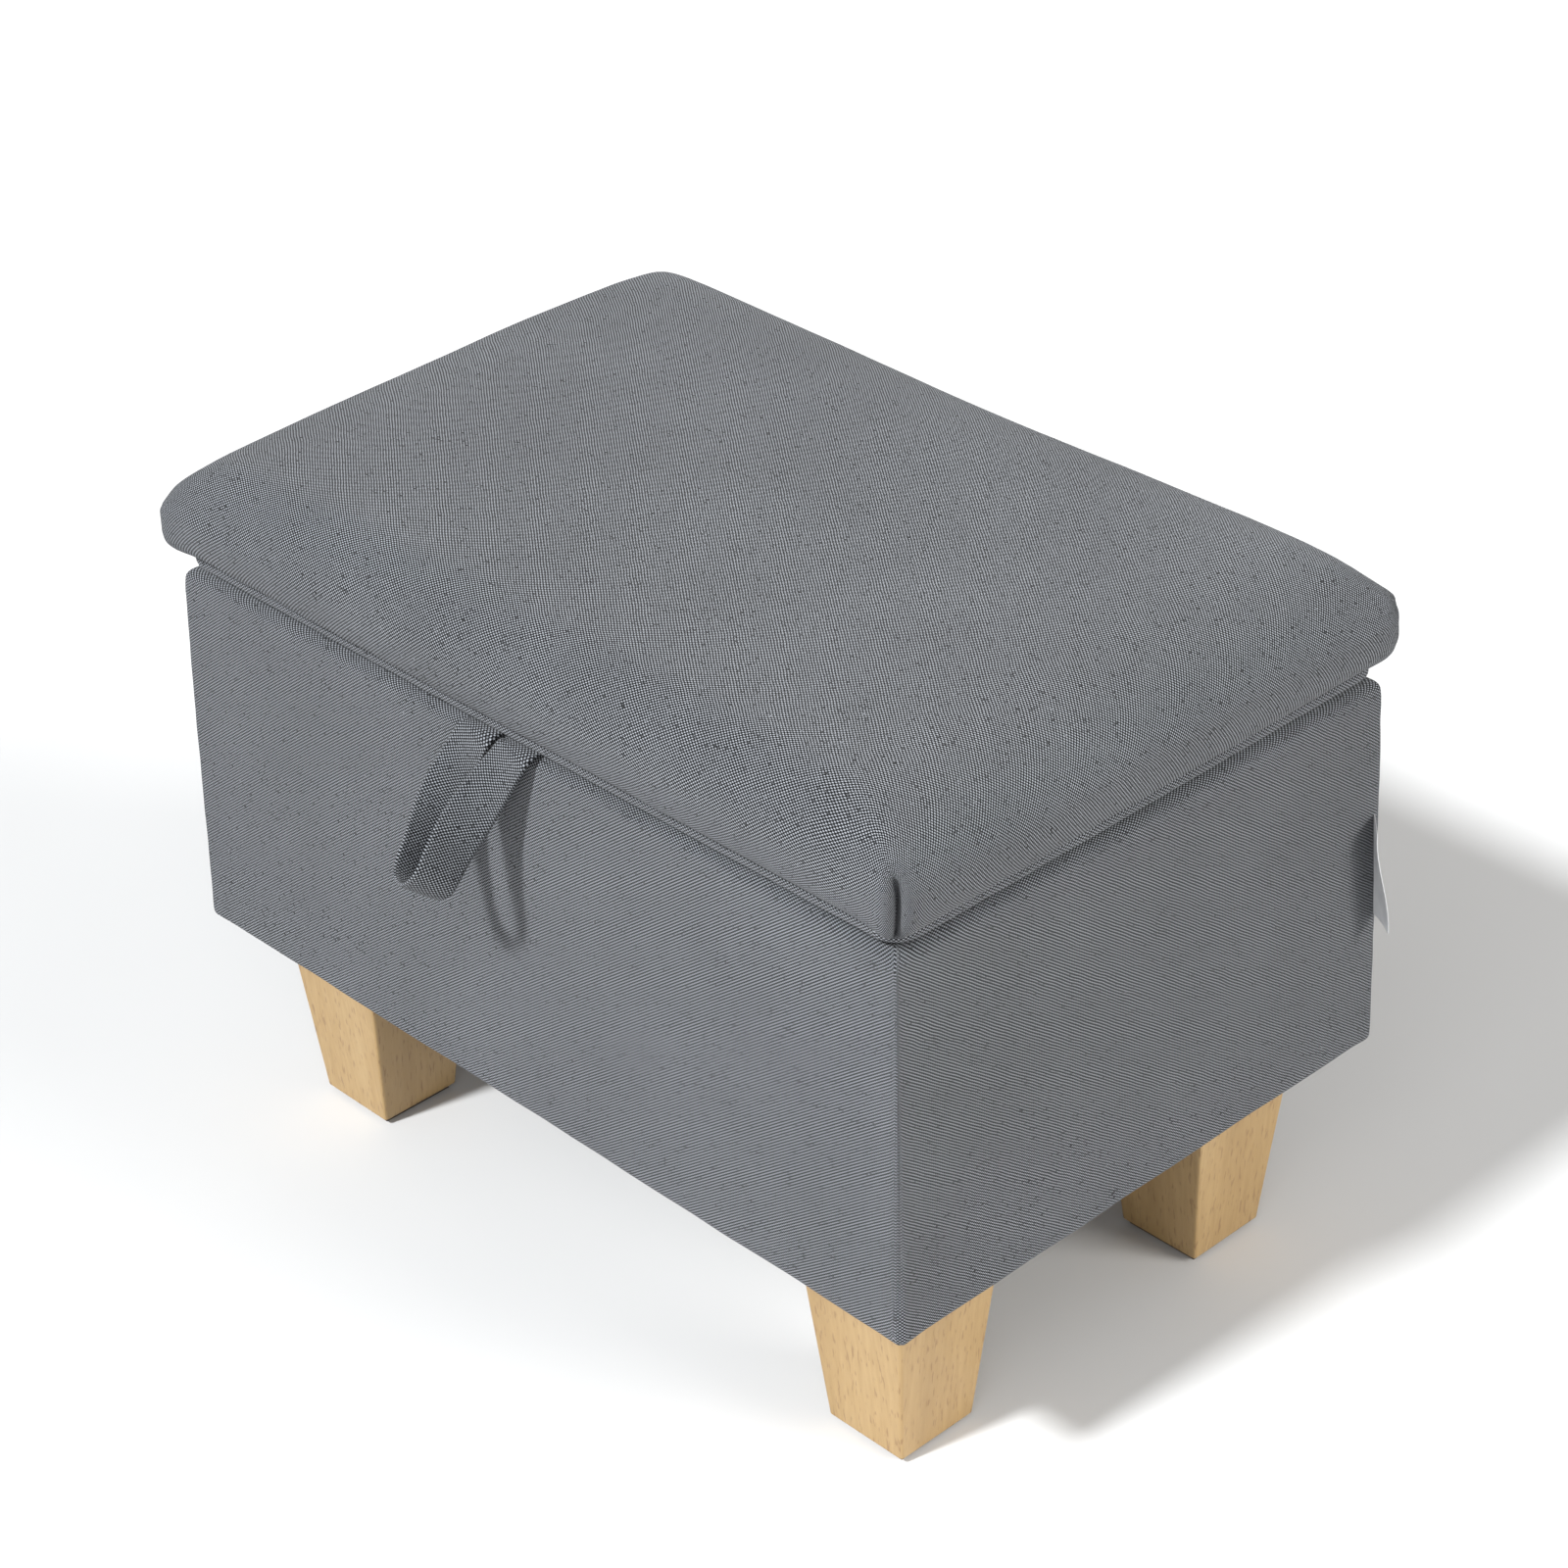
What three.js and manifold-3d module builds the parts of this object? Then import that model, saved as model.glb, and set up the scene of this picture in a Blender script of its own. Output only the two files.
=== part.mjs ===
// Storage ottoman: an upholstered box on four tapered beech legs, with a hinged padded lid and a fabric pull loop.
//
// Millimetres, +Z up, front towards -Y. Every size below is measured from the middle of the box body, at floor
// level. The pull loop reaches further forward than anything reaches back, so the last lines move the whole
// ottoman back until the origin is under the centre of its overall box.

import * as THREE from "three";
import { mergeVertices } from "three/addons/utils/BufferGeometryUtils.js";
import Module from "manifold-3d";

// ---------------------------------------------------------------- driving dimensions

const BODY_W = 520; // outside of the fabric at the bottom edge
const BODY_D = 342;
const BODY_H = 214; // underside of the body to the rim
const LEG_H = 117; // floor to the underside of the body
const RIM_DRAW_IN = 4.7; // the fabric leans in by this much from bottom edge to rim, on each side

const LID_W = 530; // the cushion at its widest
const LID_D = 352;
const LID_H = 70; // underside of the lid to the middle of its top
const LID_GAP = 2.8; // rim to lid underside, filled at the back by the two hinge leaves

const FABRIC = 1.5; // cover cloth with its backing
const BOARD = 15; // wall boards
const BOARD_INSET = 9; // wall board behind the outside of the fabric
const RIM_WADDING = 3.5; // wadding on top of the wall boards
const GAP = 0.3; // between pieces that rest on each other

const LID_BOARD = 12;
const LEG_TOP = 71; // square section of a leg at its top and bottom
const LEG_BOTTOM = 50;
const LEG_INSET = 63; // leg centre from the outside of the body
const HINGE_X = 165; // hinge centres left and right of the middle
const ROUND_SIDES = 16; // sides of the knuckles, pins and bolts

// ---------------------------------------------------------------- derived levels

const BODY_BOTTOM = LEG_H;
const RIM = BODY_BOTTOM + BODY_H;
const LID_BOTTOM = RIM + LID_GAP;
const CLOTH = 0.8; // non-woven cloth under the body, under the lid and inside the box

const BOARD_BOTTOM = BODY_BOTTOM + FABRIC + GAP; // above the cover's flaps
const BOARD_TOP = RIM - FABRIC - RIM_WADDING;
const BLOCK_H = 18;
const FLOOR_PANEL = 9;
const BLOCK_TOP = BOARD_BOTTOM + BLOCK_H;
const FLOOR_BOTTOM = BLOCK_TOP + GAP;
const FLOOR_TOP = FLOOR_BOTTOM + FLOOR_PANEL;

const WALL = BOARD_INSET + BOARD; // outside of the fabric to the inner face of a wall board
const INNER_X = BODY_W / 2 - WALL;
const INNER_Y = BODY_D / 2 - WALL;

// ---------------------------------------------------------------- materials

const paint = (color, roughness, metalness = 0) =>
  new THREE.MeshStandardMaterial({ color, roughness, metalness });
const GREY_FABRIC = paint(0x7b8087, 0.95);
const BLACK_CLOTH = paint(0x1d1d1f, 0.95);
const PLYWOOD = paint(0xc9a878, 0.8);
const BEECH = paint(0xd9b986, 0.55);
const FOAM = paint(0xe8e2cf, 1);
const WADDING = paint(0xf1f1ee, 1);
const STEEL = paint(0xb4b6b8, 0.35, 1);
const FELT = paint(0x3a2f28, 1);
const WHITE_TAG = paint(0xe9e9ea, 0.7);

// ---------------------------------------------------------------- solids

const wasm = await Module();
wasm.setup();

const X_AXIS = new THREE.Vector3(1, 0, 0);
const Y_AXIS = new THREE.Vector3(0, 1, 0);
const Z_AXIS = new THREE.Vector3(0, 0, 1);

function solidOf(geometry) {
  const bare = (geometry.index ? geometry.toNonIndexed() : geometry).clone();
  for (const name of Object.keys(bare.attributes)) {
    if (name !== "position") bare.deleteAttribute(name);
  }
  const merged = mergeVertices(bare, 1e-4);
  return new wasm.Manifold(
    new wasm.Mesh({
      numProp: 3,
      vertProperties: new Float32Array(merged.attributes.position.array),
      triVerts: new Uint32Array(merged.index.array),
    }),
  );
}

function geometryOf(solid) {
  const mesh = solid.getMesh();
  const indexed = new THREE.BufferGeometry();
  indexed.setAttribute("position", new THREE.BufferAttribute(new Float32Array(mesh.vertProperties), 3));
  indexed.setIndex(new THREE.BufferAttribute(new Uint32Array(mesh.triVerts), 1));
  const flat = indexed.toNonIndexed();
  flat.computeVertexNormals();
  return flat;
}

// A box between two corners.
function boxBetween([x0, y0, z0], [x1, y1, z1]) {
  return new THREE.BoxGeometry(x1 - x0, y1 - y0, z1 - z0).translate(
    (x0 + x1) / 2,
    (y0 + y1) / 2,
    (z0 + z1) / 2,
  );
}

// A box of half sizes hx and hy about the middle, from z0 to z1.
const slab = (hx, hy, z0, z1) => boxBetween([-hx, -hy, z0], [hx, hy, z1]);

// An upright cylinder from z0 to z1.
function post(radius, z0, z1, x, y) {
  return new THREE.CylinderGeometry(radius, radius, z1 - z0, ROUND_SIDES)
    .rotateX(Math.PI / 2)
    .translate(x, y, (z0 + z1) / 2);
}

// A solid turned about an upright axis, from [radius, height] points that start and end on the axis or close.
function turned(points, x, y, z) {
  return new THREE.LatheGeometry(
    points.map(([r, h]) => new THREE.Vector2(r, h)),
    ROUND_SIDES,
  )
    .rotateX(Math.PI / 2)
    .translate(x, y, z);
}

// An extrusion of an [x, y] outline from z0 to z1.
function plate(outline, z0, z1) {
  const shape = new THREE.Shape(outline.map(([x, y]) => new THREE.Vector2(x, y)));
  return new THREE.ExtrudeGeometry(shape, { depth: z1 - z0, bevelEnabled: false }).translate(0, 0, z0);
}

// Points of an elliptic arc in an upright section, as [distance in, height]. Angles are in degrees, from the inward
// direction upwards.
function arc(into, height, reachIn, reachUp, from, to, steps) {
  return Array.from({ length: steps + 1 }, (_, i) => {
    const angle = THREE.MathUtils.degToRad(from + ((to - from) * i) / steps);
    return [into + reachIn * Math.cos(angle), height + reachUp * Math.sin(angle)];
  });
}

// Rings of points, each with the same number, joined into one closed skin with its ends capped.
function loft(rings) {
  const count = rings[0].length;
  const points = rings.flat();
  const triangles = [];
  for (let r = 0; r < rings.length - 1; r++) {
    for (let i = 0; i < count; i++) {
      const a = r * count + i;
      const b = r * count + ((i + 1) % count);
      triangles.push(a, b, b + count, a, b + count, a + count);
    }
  }
  const cap = (ring, flip) => {
    const middle = points.length;
    points.push(rings[ring].reduce((sum, p) => sum.add(p), new THREE.Vector3()).divideScalar(count));
    for (let i = 0; i < count; i++) {
      const a = ring * count + i;
      const b = ring * count + ((i + 1) % count);
      triangles.push(middle, ...(flip ? [b, a] : [a, b]));
    }
  };
  cap(0, true);
  cap(rings.length - 1, false);
  const geometry = new THREE.BufferGeometry().setFromPoints(points);
  geometry.setIndex(triangles);
  return geometry;
}

// A rectangle with round corners at one height, as a ring of points that runs anticlockwise seen from above.
function roundedRing(hx, hy, radius, z, steps = 5) {
  const ring = [];
  const corners = [
    [1, 1, 0],
    [-1, 1, 1],
    [-1, -1, 2],
    [1, -1, 3],
  ];
  for (const [sx, sy, quarter] of corners) {
    for (let i = 0; i <= steps; i++) {
      const angle = ((quarter + i / steps) * Math.PI) / 2;
      ring.push(
        new THREE.Vector3(
          sx * (hx - radius) + radius * Math.cos(angle),
          sy * (hy - radius) + radius * Math.sin(angle),
          z,
        ),
      );
    }
  }
  return ring;
}

// ---------------------------------------------------------------- the assembly

const ottoman = new THREE.Group();

function add(name, geometry, material) {
  const mesh = new THREE.Mesh(geometry, material);
  mesh.name = name;
  ottoman.add(mesh);
  return mesh;
}

const CORNERS = [
  ["front_left", -1, -1],
  ["front_right", 1, -1],
  ["back_left", -1, 1],
  ["back_right", 1, 1],
];

// The four sides as [name, half length, half depth, turn about Z that brings a front panel there].
const SIDES = [
  ["front", BODY_W / 2, BODY_D / 2, 0],
  ["right", BODY_D / 2, BODY_W / 2, Math.PI / 2],
  ["back", BODY_W / 2, BODY_D / 2, Math.PI],
  ["left", BODY_D / 2, BODY_W / 2, -Math.PI / 2],
];

// ---------------------------------------------------------------- hinges

const PIN_R = 1.5;
const BORE_R = 1.6;
const KNUCKLE_R = 3;
const LEAF = 0.95;
const LEAF_W = 52;
const LEAF_REACH = 24; // from the pin to the front edge of a leaf
const KNUCKLE_CLEAR = 0.6; // between the knuckles and the back of the rim
const PIN_Y = BODY_D / 2 - RIM_DRAW_IN + KNUCKLE_R + KNUCKLE_CLEAR;
const PIN_Z = RIM + LID_GAP / 2;
const SCREW_Y = BODY_D / 2 - BOARD_INSET - BOARD / 2;
const SCREW_X = 16; // either side of the hinge's middle
const SCREW_R = 1.5;
const SCREW_HEAD_R = 2.9;
const SCREW_LONG = 14;
const SCREW_POINT = 3;
const SCREW_CLEAR = 0.2; // around a screw in its hole
const BODY_LEAF_Z = RIM + GAP;
const LID_LEAF_Z = LID_BOTTOM - GAP - LEAF;

// A cylinder along X, about the pin.
function barrel(radius, x0, x1) {
  return new THREE.CylinderGeometry(radius, radius, x1 - x0, ROUND_SIDES)
    .rotateZ(Math.PI / 2)
    .translate((x0 + x1) / 2, PIN_Y, PIN_Z);
}

const hingeMiddles = [
  ["left", -HINGE_X],
  ["right", HINGE_X],
];
const screwPlaces = hingeMiddles.flatMap(([side, x]) => [
  [`${side}_1`, x - SCREW_X],
  [`${side}_2`, x + SCREW_X],
]);

// A countersunk screw with its head's face at faceZ. It runs up when toward is 1 and down when it is -1.
// A positive grow gives the hole the screw goes through.
function screwSolid(x, faceZ, toward, grow = 0) {
  const points = [
    [0, -grow],
    [SCREW_HEAD_R + grow, -grow],
    [SCREW_HEAD_R + grow, 0],
    [SCREW_R + grow, LEAF],
    [SCREW_R + grow, SCREW_LONG - SCREW_POINT],
    [grow + 0.2, SCREW_LONG + grow],
    [0, SCREW_LONG + grow],
  ];
  const screw = new THREE.LatheGeometry(
    points.map(([r, h]) => new THREE.Vector2(r, h)),
    ROUND_SIDES,
  ).rotateX((toward * Math.PI) / 2);
  return solidOf(screw.translate(x, SCREW_Y, faceZ));
}

const BODY_SCREW_FACE = BODY_LEAF_Z + LEAF;
const LID_SCREW_FACE = LID_LEAF_Z;
const bodyScrewHoles = screwPlaces.map(([, x]) => screwSolid(x, BODY_SCREW_FACE, -1, SCREW_CLEAR));
const lidScrewHoles = screwPlaces.map(([, x]) => screwSolid(x, LID_SCREW_FACE, 1, SCREW_CLEAR));
const cutAll = (solid, cutters) => cutters.reduce((left, cutter) => left.subtract(cutter), solid);

// One leaf of a hinge: a plate with its knuckles, clear of the other leaf's knuckles, bored for the pin.
function leafSolid(x, z, knuckles, gaps) {
  const half = LEAF_W / 2;
  const plateEnd = PIN_Y - KNUCKLE_R - GAP;
  let leaf = solidOf(boxBetween([x - half, PIN_Y - LEAF_REACH, z], [x + half, plateEnd, z + LEAF]));
  for (const [from, to] of knuckles) {
    const tongue = boxBetween([x + from, plateEnd - 1, z], [x + to, PIN_Y, z + LEAF]);
    leaf = leaf.add(solidOf(tongue)).add(solidOf(barrel(KNUCKLE_R, x + from, x + to)));
  }
  for (const [from, to] of gaps) {
    leaf = leaf.subtract(solidOf(barrel(KNUCKLE_R + GAP, x + from, x + to)));
  }
  return leaf.subtract(solidOf(barrel(BORE_R, x - half - 1, x + half + 1)));
}

const THIRD = LEAF_W / 3;
const OUTER_KNUCKLES = [
  [-LEAF_W / 2, -THIRD / 2 - GAP],
  [THIRD / 2 + GAP, LEAF_W / 2],
];
const MIDDLE_KNUCKLE = [[-THIRD / 2, THIRD / 2]];

for (const [side, x] of hingeMiddles) {
  const lower = leafSolid(x, BODY_LEAF_Z, OUTER_KNUCKLES, MIDDLE_KNUCKLE);
  const upper = leafSolid(x, LID_LEAF_Z, MIDDLE_KNUCKLE, OUTER_KNUCKLES);
  add(`hinge_leaf_body_${side}`, geometryOf(cutAll(lower, bodyScrewHoles)), STEEL);
  add(`hinge_leaf_lid_${side}`, geometryOf(cutAll(upper, lidScrewHoles)), STEEL);
  add(`hinge_pin_${side}`, barrel(PIN_R, x - LEAF_W / 2 - 0.5, x + LEAF_W / 2 + 0.5), STEEL);
}
for (const [place, x] of screwPlaces) {
  add(`hinge_screw_body_${place}`, geometryOf(screwSolid(x, BODY_SCREW_FACE, -1)), STEEL);
  add(`hinge_screw_lid_${place}`, geometryOf(screwSolid(x, LID_SCREW_FACE, 1)), STEEL);
}

// ---------------------------------------------------------------- walls: board, wadding and cover on each side

const FLAP_UNDER = 24; // cover folded under the body
const FLAP_INSIDE = 36; // cover folded down inside the box
const RIM_R = 7; // round of the padded rim
const BOTTOM_R = 4; // round of the bottom edge
// The outer face of a wall's section from under the body to the top of the rim, taken in by inset.
function wallFace(inset) {
  const low = BOTTOM_R - inset;
  const high = RIM_R - inset;
  return [
    ...arc(BOTTOM_R, BODY_BOTTOM + BOTTOM_R, low, low, 270, 180, 3),
    ...arc(RIM_DRAW_IN + RIM_R, RIM - RIM_R, high, high, 180, 90, 3),
  ];
}

const FLAP_OUT = WALL + GAP;
const FLAP_IN = FLAP_OUT + FABRIC;
const COVER_SECTION = [
  [FLAP_UNDER, BODY_BOTTOM],
  ...wallFace(0),
  [FLAP_IN, RIM],
  [FLAP_IN, RIM - FLAP_INSIDE],
  [FLAP_OUT, RIM - FLAP_INSIDE],
  [FLAP_OUT, RIM - FABRIC],
  ...wallFace(FABRIC).reverse(),
  [FLAP_UNDER, BODY_BOTTOM + FABRIC],
];

const PAD_OUT = FABRIC + GAP;
const PAD_SECTION = [
  [BOARD_INSET - GAP, BODY_BOTTOM + PAD_OUT],
  ...wallFace(PAD_OUT),
  [WALL, RIM - PAD_OUT],
  [WALL, BOARD_TOP + GAP],
  [BOARD_INSET - GAP, BOARD_TOP + GAP],
];

// A section run along a front wall of that half length and half depth, and mitred at both ends.
function mitredWall(section, halfLength, halfDepth) {
  const shape = new THREE.Shape(section.map(([into, z]) => new THREE.Vector2(into, z)));
  const run = new THREE.ExtrudeGeometry(shape, { depth: 2 * halfLength, bevelEnabled: false });
  // The section's two directions become +Y and +Z, and the run goes along +X.
  run.applyMatrix4(new THREE.Matrix4().makeBasis(Y_AXIS, Z_AXIS, X_AXIS));
  run.translate(-halfLength, -halfDepth, 0);
  const end = halfLength - GAP / 2;
  const reach = FLAP_IN + 10;
  const mitre = [
    [-end, -halfDepth],
    [end, -halfDepth],
    [end - reach, -halfDepth + reach],
    [-end + reach, -halfDepth + reach],
  ];
  return solidOf(run).intersect(solidOf(plate(mitre, BODY_BOTTOM - 1, RIM + 1)));
}

for (const [side, halfLength, halfDepth, turn] of SIDES) {
  const turnBack = -(turn * 180) / Math.PI;
  const holes = side === "back" ? bodyScrewHoles.map((hole) => hole.rotate([0, 0, turnBack])) : [];
  const cover = cutAll(mitredWall(COVER_SECTION, halfLength, halfDepth), holes);
  const padding = cutAll(mitredWall(PAD_SECTION, halfLength, halfDepth), holes);
  add(`cover_${side}`, geometryOf(cover), GREY_FABRIC).rotation.z = turn;
  add(`padding_${side}`, geometryOf(padding), WADDING).rotation.z = turn;
  // Front and back boards run the full width, and the side boards are fixed between them.
  const long = side === "front" || side === "back";
  const half = halfLength - (long ? BOARD_INSET : WALL + GAP);
  const board = solidOf(
    boxBetween([-half, -halfDepth + BOARD_INSET, BOARD_BOTTOM], [half, -halfDepth + WALL, BOARD_TOP]),
  );
  add(`board_${side}`, geometryOf(cutAll(board, holes)), PLYWOOD).rotation.z = turn;
}

// ---------------------------------------------------------------- floor, corner blocks, lining

const BLOCK = 108; // leg of a corner block's triangle
const BOLT_R = 4;
const BOLT_CLEAR = 0.3;
const TNUT_R = 5.6;
const TNUT_FLANGE_R = 11;
const TNUT_FLANGE = 1.5;
const TNUT_LONG = 11;
const BOLT_IN_LEG = 34;
const LEG_TOP_Z = BODY_BOTTOM - CLOTH - 2 * GAP;
const PAD_H = 2.5;

const legX = BODY_W / 2 - LEG_INSET;
const legY = BODY_D / 2 - LEG_INSET;
const boltHole = (x, y) => solidOf(post(BOLT_R + BOLT_CLEAR, LEG_TOP_Z - BOLT_IN_LEG - 1, BLOCK_TOP + 1, x, y));

// A corner block: a triangle with its tips cut off, bored for the leg's bolt and its T-nut.
function cornerBlock(sx, sy) {
  const cut = 22;
  const outline = [
    [0, 0],
    [BLOCK, 0],
    [BLOCK, cut],
    [cut, BLOCK],
    [0, BLOCK],
  ].map(([x, y]) => [sx * (INNER_X - GAP - x), sy * (INNER_Y - GAP - y)]);
  if (sx * sy < 0) outline.reverse();
  const x = sx * legX;
  const y = sy * legY;
  return solidOf(plate(outline, BOARD_BOTTOM, BLOCK_TOP))
    .subtract(boltHole(x, y))
    .subtract(solidOf(post(TNUT_R + GAP, BLOCK_TOP - TNUT_LONG - 1, BLOCK_TOP + 1, x, y)))
    .subtract(solidOf(post(TNUT_FLANGE_R + 0.5, BLOCK_TOP - TNUT_FLANGE - GAP, BLOCK_TOP + 1, x, y)));
}

// A T-nut: a flange on top of a sleeve, with the bolt's bore through both.
function tNut(x, y) {
  const bore = BOLT_R + 0.15;
  return turned(
    [
      [bore, -TNUT_LONG],
      [TNUT_R, -TNUT_LONG],
      [TNUT_R, -TNUT_FLANGE],
      [TNUT_FLANGE_R, -TNUT_FLANGE],
      [TNUT_FLANGE_R, 0],
      [bore, 0],
      [bore, -TNUT_LONG],
    ],
    x,
    y,
    BLOCK_TOP,
  );
}

for (const [corner, sx, sy] of CORNERS) {
  const x = sx * legX;
  const y = sy * legY;
  add(`corner_block_${corner}`, geometryOf(cornerBlock(sx, sy)), PLYWOOD);
  add(`leg_tnut_${corner}`, tNut(x, y), STEEL);
  add(`leg_bolt_${corner}`, post(BOLT_R, LEG_TOP_Z - BOLT_IN_LEG, BLOCK_TOP - 0.4, x, y), STEEL);
}

const BATTEN = 18;
for (const [side, sy] of [
  ["front", -1],
  ["back", 1],
]) {
  const half = INNER_X - BLOCK - 2 * GAP;
  const y0 = sy * (INNER_Y - GAP);
  const y1 = sy * (INNER_Y - GAP - BATTEN);
  const batten = boxBetween([-half, Math.min(y0, y1), BOARD_BOTTOM], [half, Math.max(y0, y1), BLOCK_TOP]);
  add(`floor_batten_${side}`, batten, PLYWOOD);
}
add("floor_panel", slab(INNER_X - GAP, INNER_Y - GAP, FLOOR_BOTTOM, FLOOR_TOP), PLYWOOD);

const LINING_OUT_X = INNER_X - GAP;
const LINING_OUT_Y = INNER_Y - GAP;
const LINING_BOTTOM = FLOOR_TOP + GAP;
const liningWalls = solidOf(slab(LINING_OUT_X, LINING_OUT_Y, LINING_BOTTOM, RIM - FLAP_INSIDE - GAP)).subtract(
  solidOf(slab(LINING_OUT_X - CLOTH, LINING_OUT_Y - CLOTH, LINING_BOTTOM - 1, RIM)),
);
add("lining_walls", geometryOf(liningWalls), BLACK_CLOTH);
const liningFloor = slab(
  LINING_OUT_X - CLOTH - GAP,
  LINING_OUT_Y - CLOTH - GAP,
  LINING_BOTTOM,
  LINING_BOTTOM + CLOTH,
);
add("lining_floor", liningFloor, BLACK_CLOTH);

const CLOTH_MARGIN = 9; // underside cloth in from the outside of the body
const undersideCloth = CORNERS.reduce(
  (cloth, [, sx, sy]) => cloth.subtract(boltHole(sx * legX, sy * legY)),
  solidOf(
    slab(BODY_W / 2 - CLOTH_MARGIN, BODY_D / 2 - CLOTH_MARGIN, BODY_BOTTOM - GAP - CLOTH, BODY_BOTTOM - GAP),
  ),
);
add("underside_cloth", geometryOf(undersideCloth), BLACK_CLOTH);

// ---------------------------------------------------------------- legs

// A leg: a square that tapers evenly on all four sides, with its upright edges eased.
function legSolid(x, y) {
  const ease = 1.5;
  const foot = PAD_H + GAP;
  const ring = (size, z) => roundedRing(size / 2, size / 2, ease, z, 2);
  const skin = loft([ring(LEG_BOTTOM - 2, foot), ring(LEG_BOTTOM, foot + 1), ring(LEG_TOP, LEG_TOP_Z)]);
  return solidOf(skin.translate(x, y, 0)).subtract(boltHole(x, y));
}

for (const [corner, sx, sy] of CORNERS) {
  const x = sx * legX;
  const y = sy * legY;
  add(`leg_${corner}`, geometryOf(legSolid(x, y)), BEECH);
  const half = LEG_BOTTOM / 2 - 3;
  add(`leg_pad_${corner}`, boxBetween([x - half, y - half, 0], [x + half, y + half, PAD_H]), FELT);
}

// ---------------------------------------------------------------- lid

const LID_EDGE_IN = 11.5; // the covered edge of the board stands back under the cushion
const LID_EDGE_H = 6.8;
const LID_WIDEST_H = 30; // where the cushion is widest
const LID_SHOULDER = 36; // how far in the rounding of the top edge reaches
const LID_CROWN = 1.4; // from the shoulders up to the middle
const LID_CROWN_IN = 90;
const LID_CORNER_R = 16;

// The lid's section from its underside up, as [distance in from its widest, height above its underside] points.
const LID_SECTION = [
  [LID_EDGE_IN, 0],
  ...arc(LID_EDGE_IN, LID_WIDEST_H, LID_EDGE_IN, LID_WIDEST_H - LID_EDGE_H, 270, 180, 3),
  ...arc(LID_SHOULDER, LID_WIDEST_H, LID_SHOULDER, LID_H - LID_CROWN - LID_WIDEST_H, 180, 90, 6).slice(1),
  [LID_CROWN_IN, LID_H],
];
const cornerRadius = (into) => Math.max(3, LID_CORNER_R - into * 0.2);

// How far in the cushion's edge is at a height above the lid's underside.
function edgeInAt(height) {
  const above = LID_SECTION.findIndex(([, h]) => h >= height);
  const [outerIn, outerHeight] = LID_SECTION[above];
  if (outerHeight === height) return outerIn;
  const [innerIn, innerHeight] = LID_SECTION[above - 1];
  return THREE.MathUtils.mapLinear(height, innerHeight, outerHeight, innerIn, outerIn);
}

// The cushion from a height up, taken in by inset all round.
function cushion(inset, from) {
  const section = [[edgeInAt(from), from], ...LID_SECTION.filter(([, h]) => h > from)];
  const rings = section.map(([edgeIn, h]) => {
    const into = edgeIn + inset;
    const height = LID_BOTTOM + (h > LID_H / 2 ? h - inset : h);
    return roundedRing(LID_W / 2 - into, LID_D / 2 - into, cornerRadius(into), height);
  });
  return solidOf(loft(rings));
}

const LID_FLAP = 30;
const LID_BOARD_BOTTOM = LID_BOTTOM + FABRIC + GAP;
const LID_BOARD_TOP = LID_BOARD_BOTTOM + LID_BOARD;
const lidBoardX = LID_W / 2 - LID_EDGE_IN - FABRIC - GAP;
const lidBoardY = LID_D / 2 - LID_EDGE_IN - FABRIC - GAP;

const flapOpening = solidOf(
  slab(
    LID_W / 2 - LID_EDGE_IN - LID_FLAP,
    LID_D / 2 - LID_EDGE_IN - LID_FLAP,
    LID_BOTTOM - 1,
    LID_BOTTOM + FABRIC + 1,
  ),
);
const lidCover = cushion(0, 0).subtract(cushion(FABRIC, FABRIC)).subtract(flapOpening);
add("lid_cover", geometryOf(cutAll(lidCover, lidScrewHoles)), GREY_FABRIC);

const FOAM_FROM = LID_BOARD_TOP + GAP - LID_BOTTOM;
add("lid_foam", geometryOf(cushion(FABRIC + GAP, FOAM_FROM)), FOAM);

const lidBoardRings = [LID_BOARD_BOTTOM, LID_BOARD_TOP].map((z) =>
  roundedRing(lidBoardX, lidBoardY, cornerRadius(LID_EDGE_IN + FABRIC + GAP), z),
);
const lidBoard = solidOf(loft(lidBoardRings));
add("lid_board", geometryOf(cutAll(lidBoard, lidScrewHoles)), PLYWOOD);

const LID_LINING_IN = 34; // covers the edges of the cover's flaps, and stays clear of the hinge leaves
const LID_LINING_TOP = LID_BOTTOM - 0.2;
const lidLining = slab(
  LID_W / 2 - LID_LINING_IN,
  LID_D / 2 - LID_LINING_IN,
  LID_LINING_TOP - CLOTH / 2,
  LID_LINING_TOP,
);
add("lid_lining", lidLining, BLACK_CLOTH);

// ---------------------------------------------------------------- pull loop

// A tape whose two ends are sewn side by side under the lid. It twists on its way down and turns back at the bottom.
const STRAP_W = 25;
const STRAP_T = 2.4;
const STRAP_X = -8; // between the two sewn ends
const STRAP_RUN = 69; // from the lid to where the tape turns back
const STRAP_TURN_R = 12.4; // radius of the turn
const STRAP_SIDE = 13; // middle of each sewn end from the middle of the loop
const STRAP_TWIST = THREE.MathUtils.degToRad(69);
const STRAP_DRIFT = -6; // how far to the side the loop has gone by its turn
const STRAP_BOW = [-6.2, -3.8]; // how far its axis also bows to the side and towards the box, halfway down
const STRAP_START = 0.02; // share of the run left free at the top
const STRAP_CLEAR = 2.3; // from the front of the rim to the start of the loop
const STRAP_LEG_STEPS = 12;
const STRAP_TURN_STEPS = 10;
const STRAP_ROOT = new THREE.Vector3(
  STRAP_X,
  -BODY_D / 2 + RIM_DRAW_IN - STRAP_CLEAR,
  RIM + LID_GAP / 2 - GAP,
);
const STRAP_ALONG = new THREE.Vector3(0, -0.598, -0.801).normalize();
const STRAP_ACROSS = new THREE.Vector3(1, 0, 0);
const STRAP_OUT = new THREE.Vector3().crossVectors(STRAP_ALONG, STRAP_ACROSS);

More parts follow.
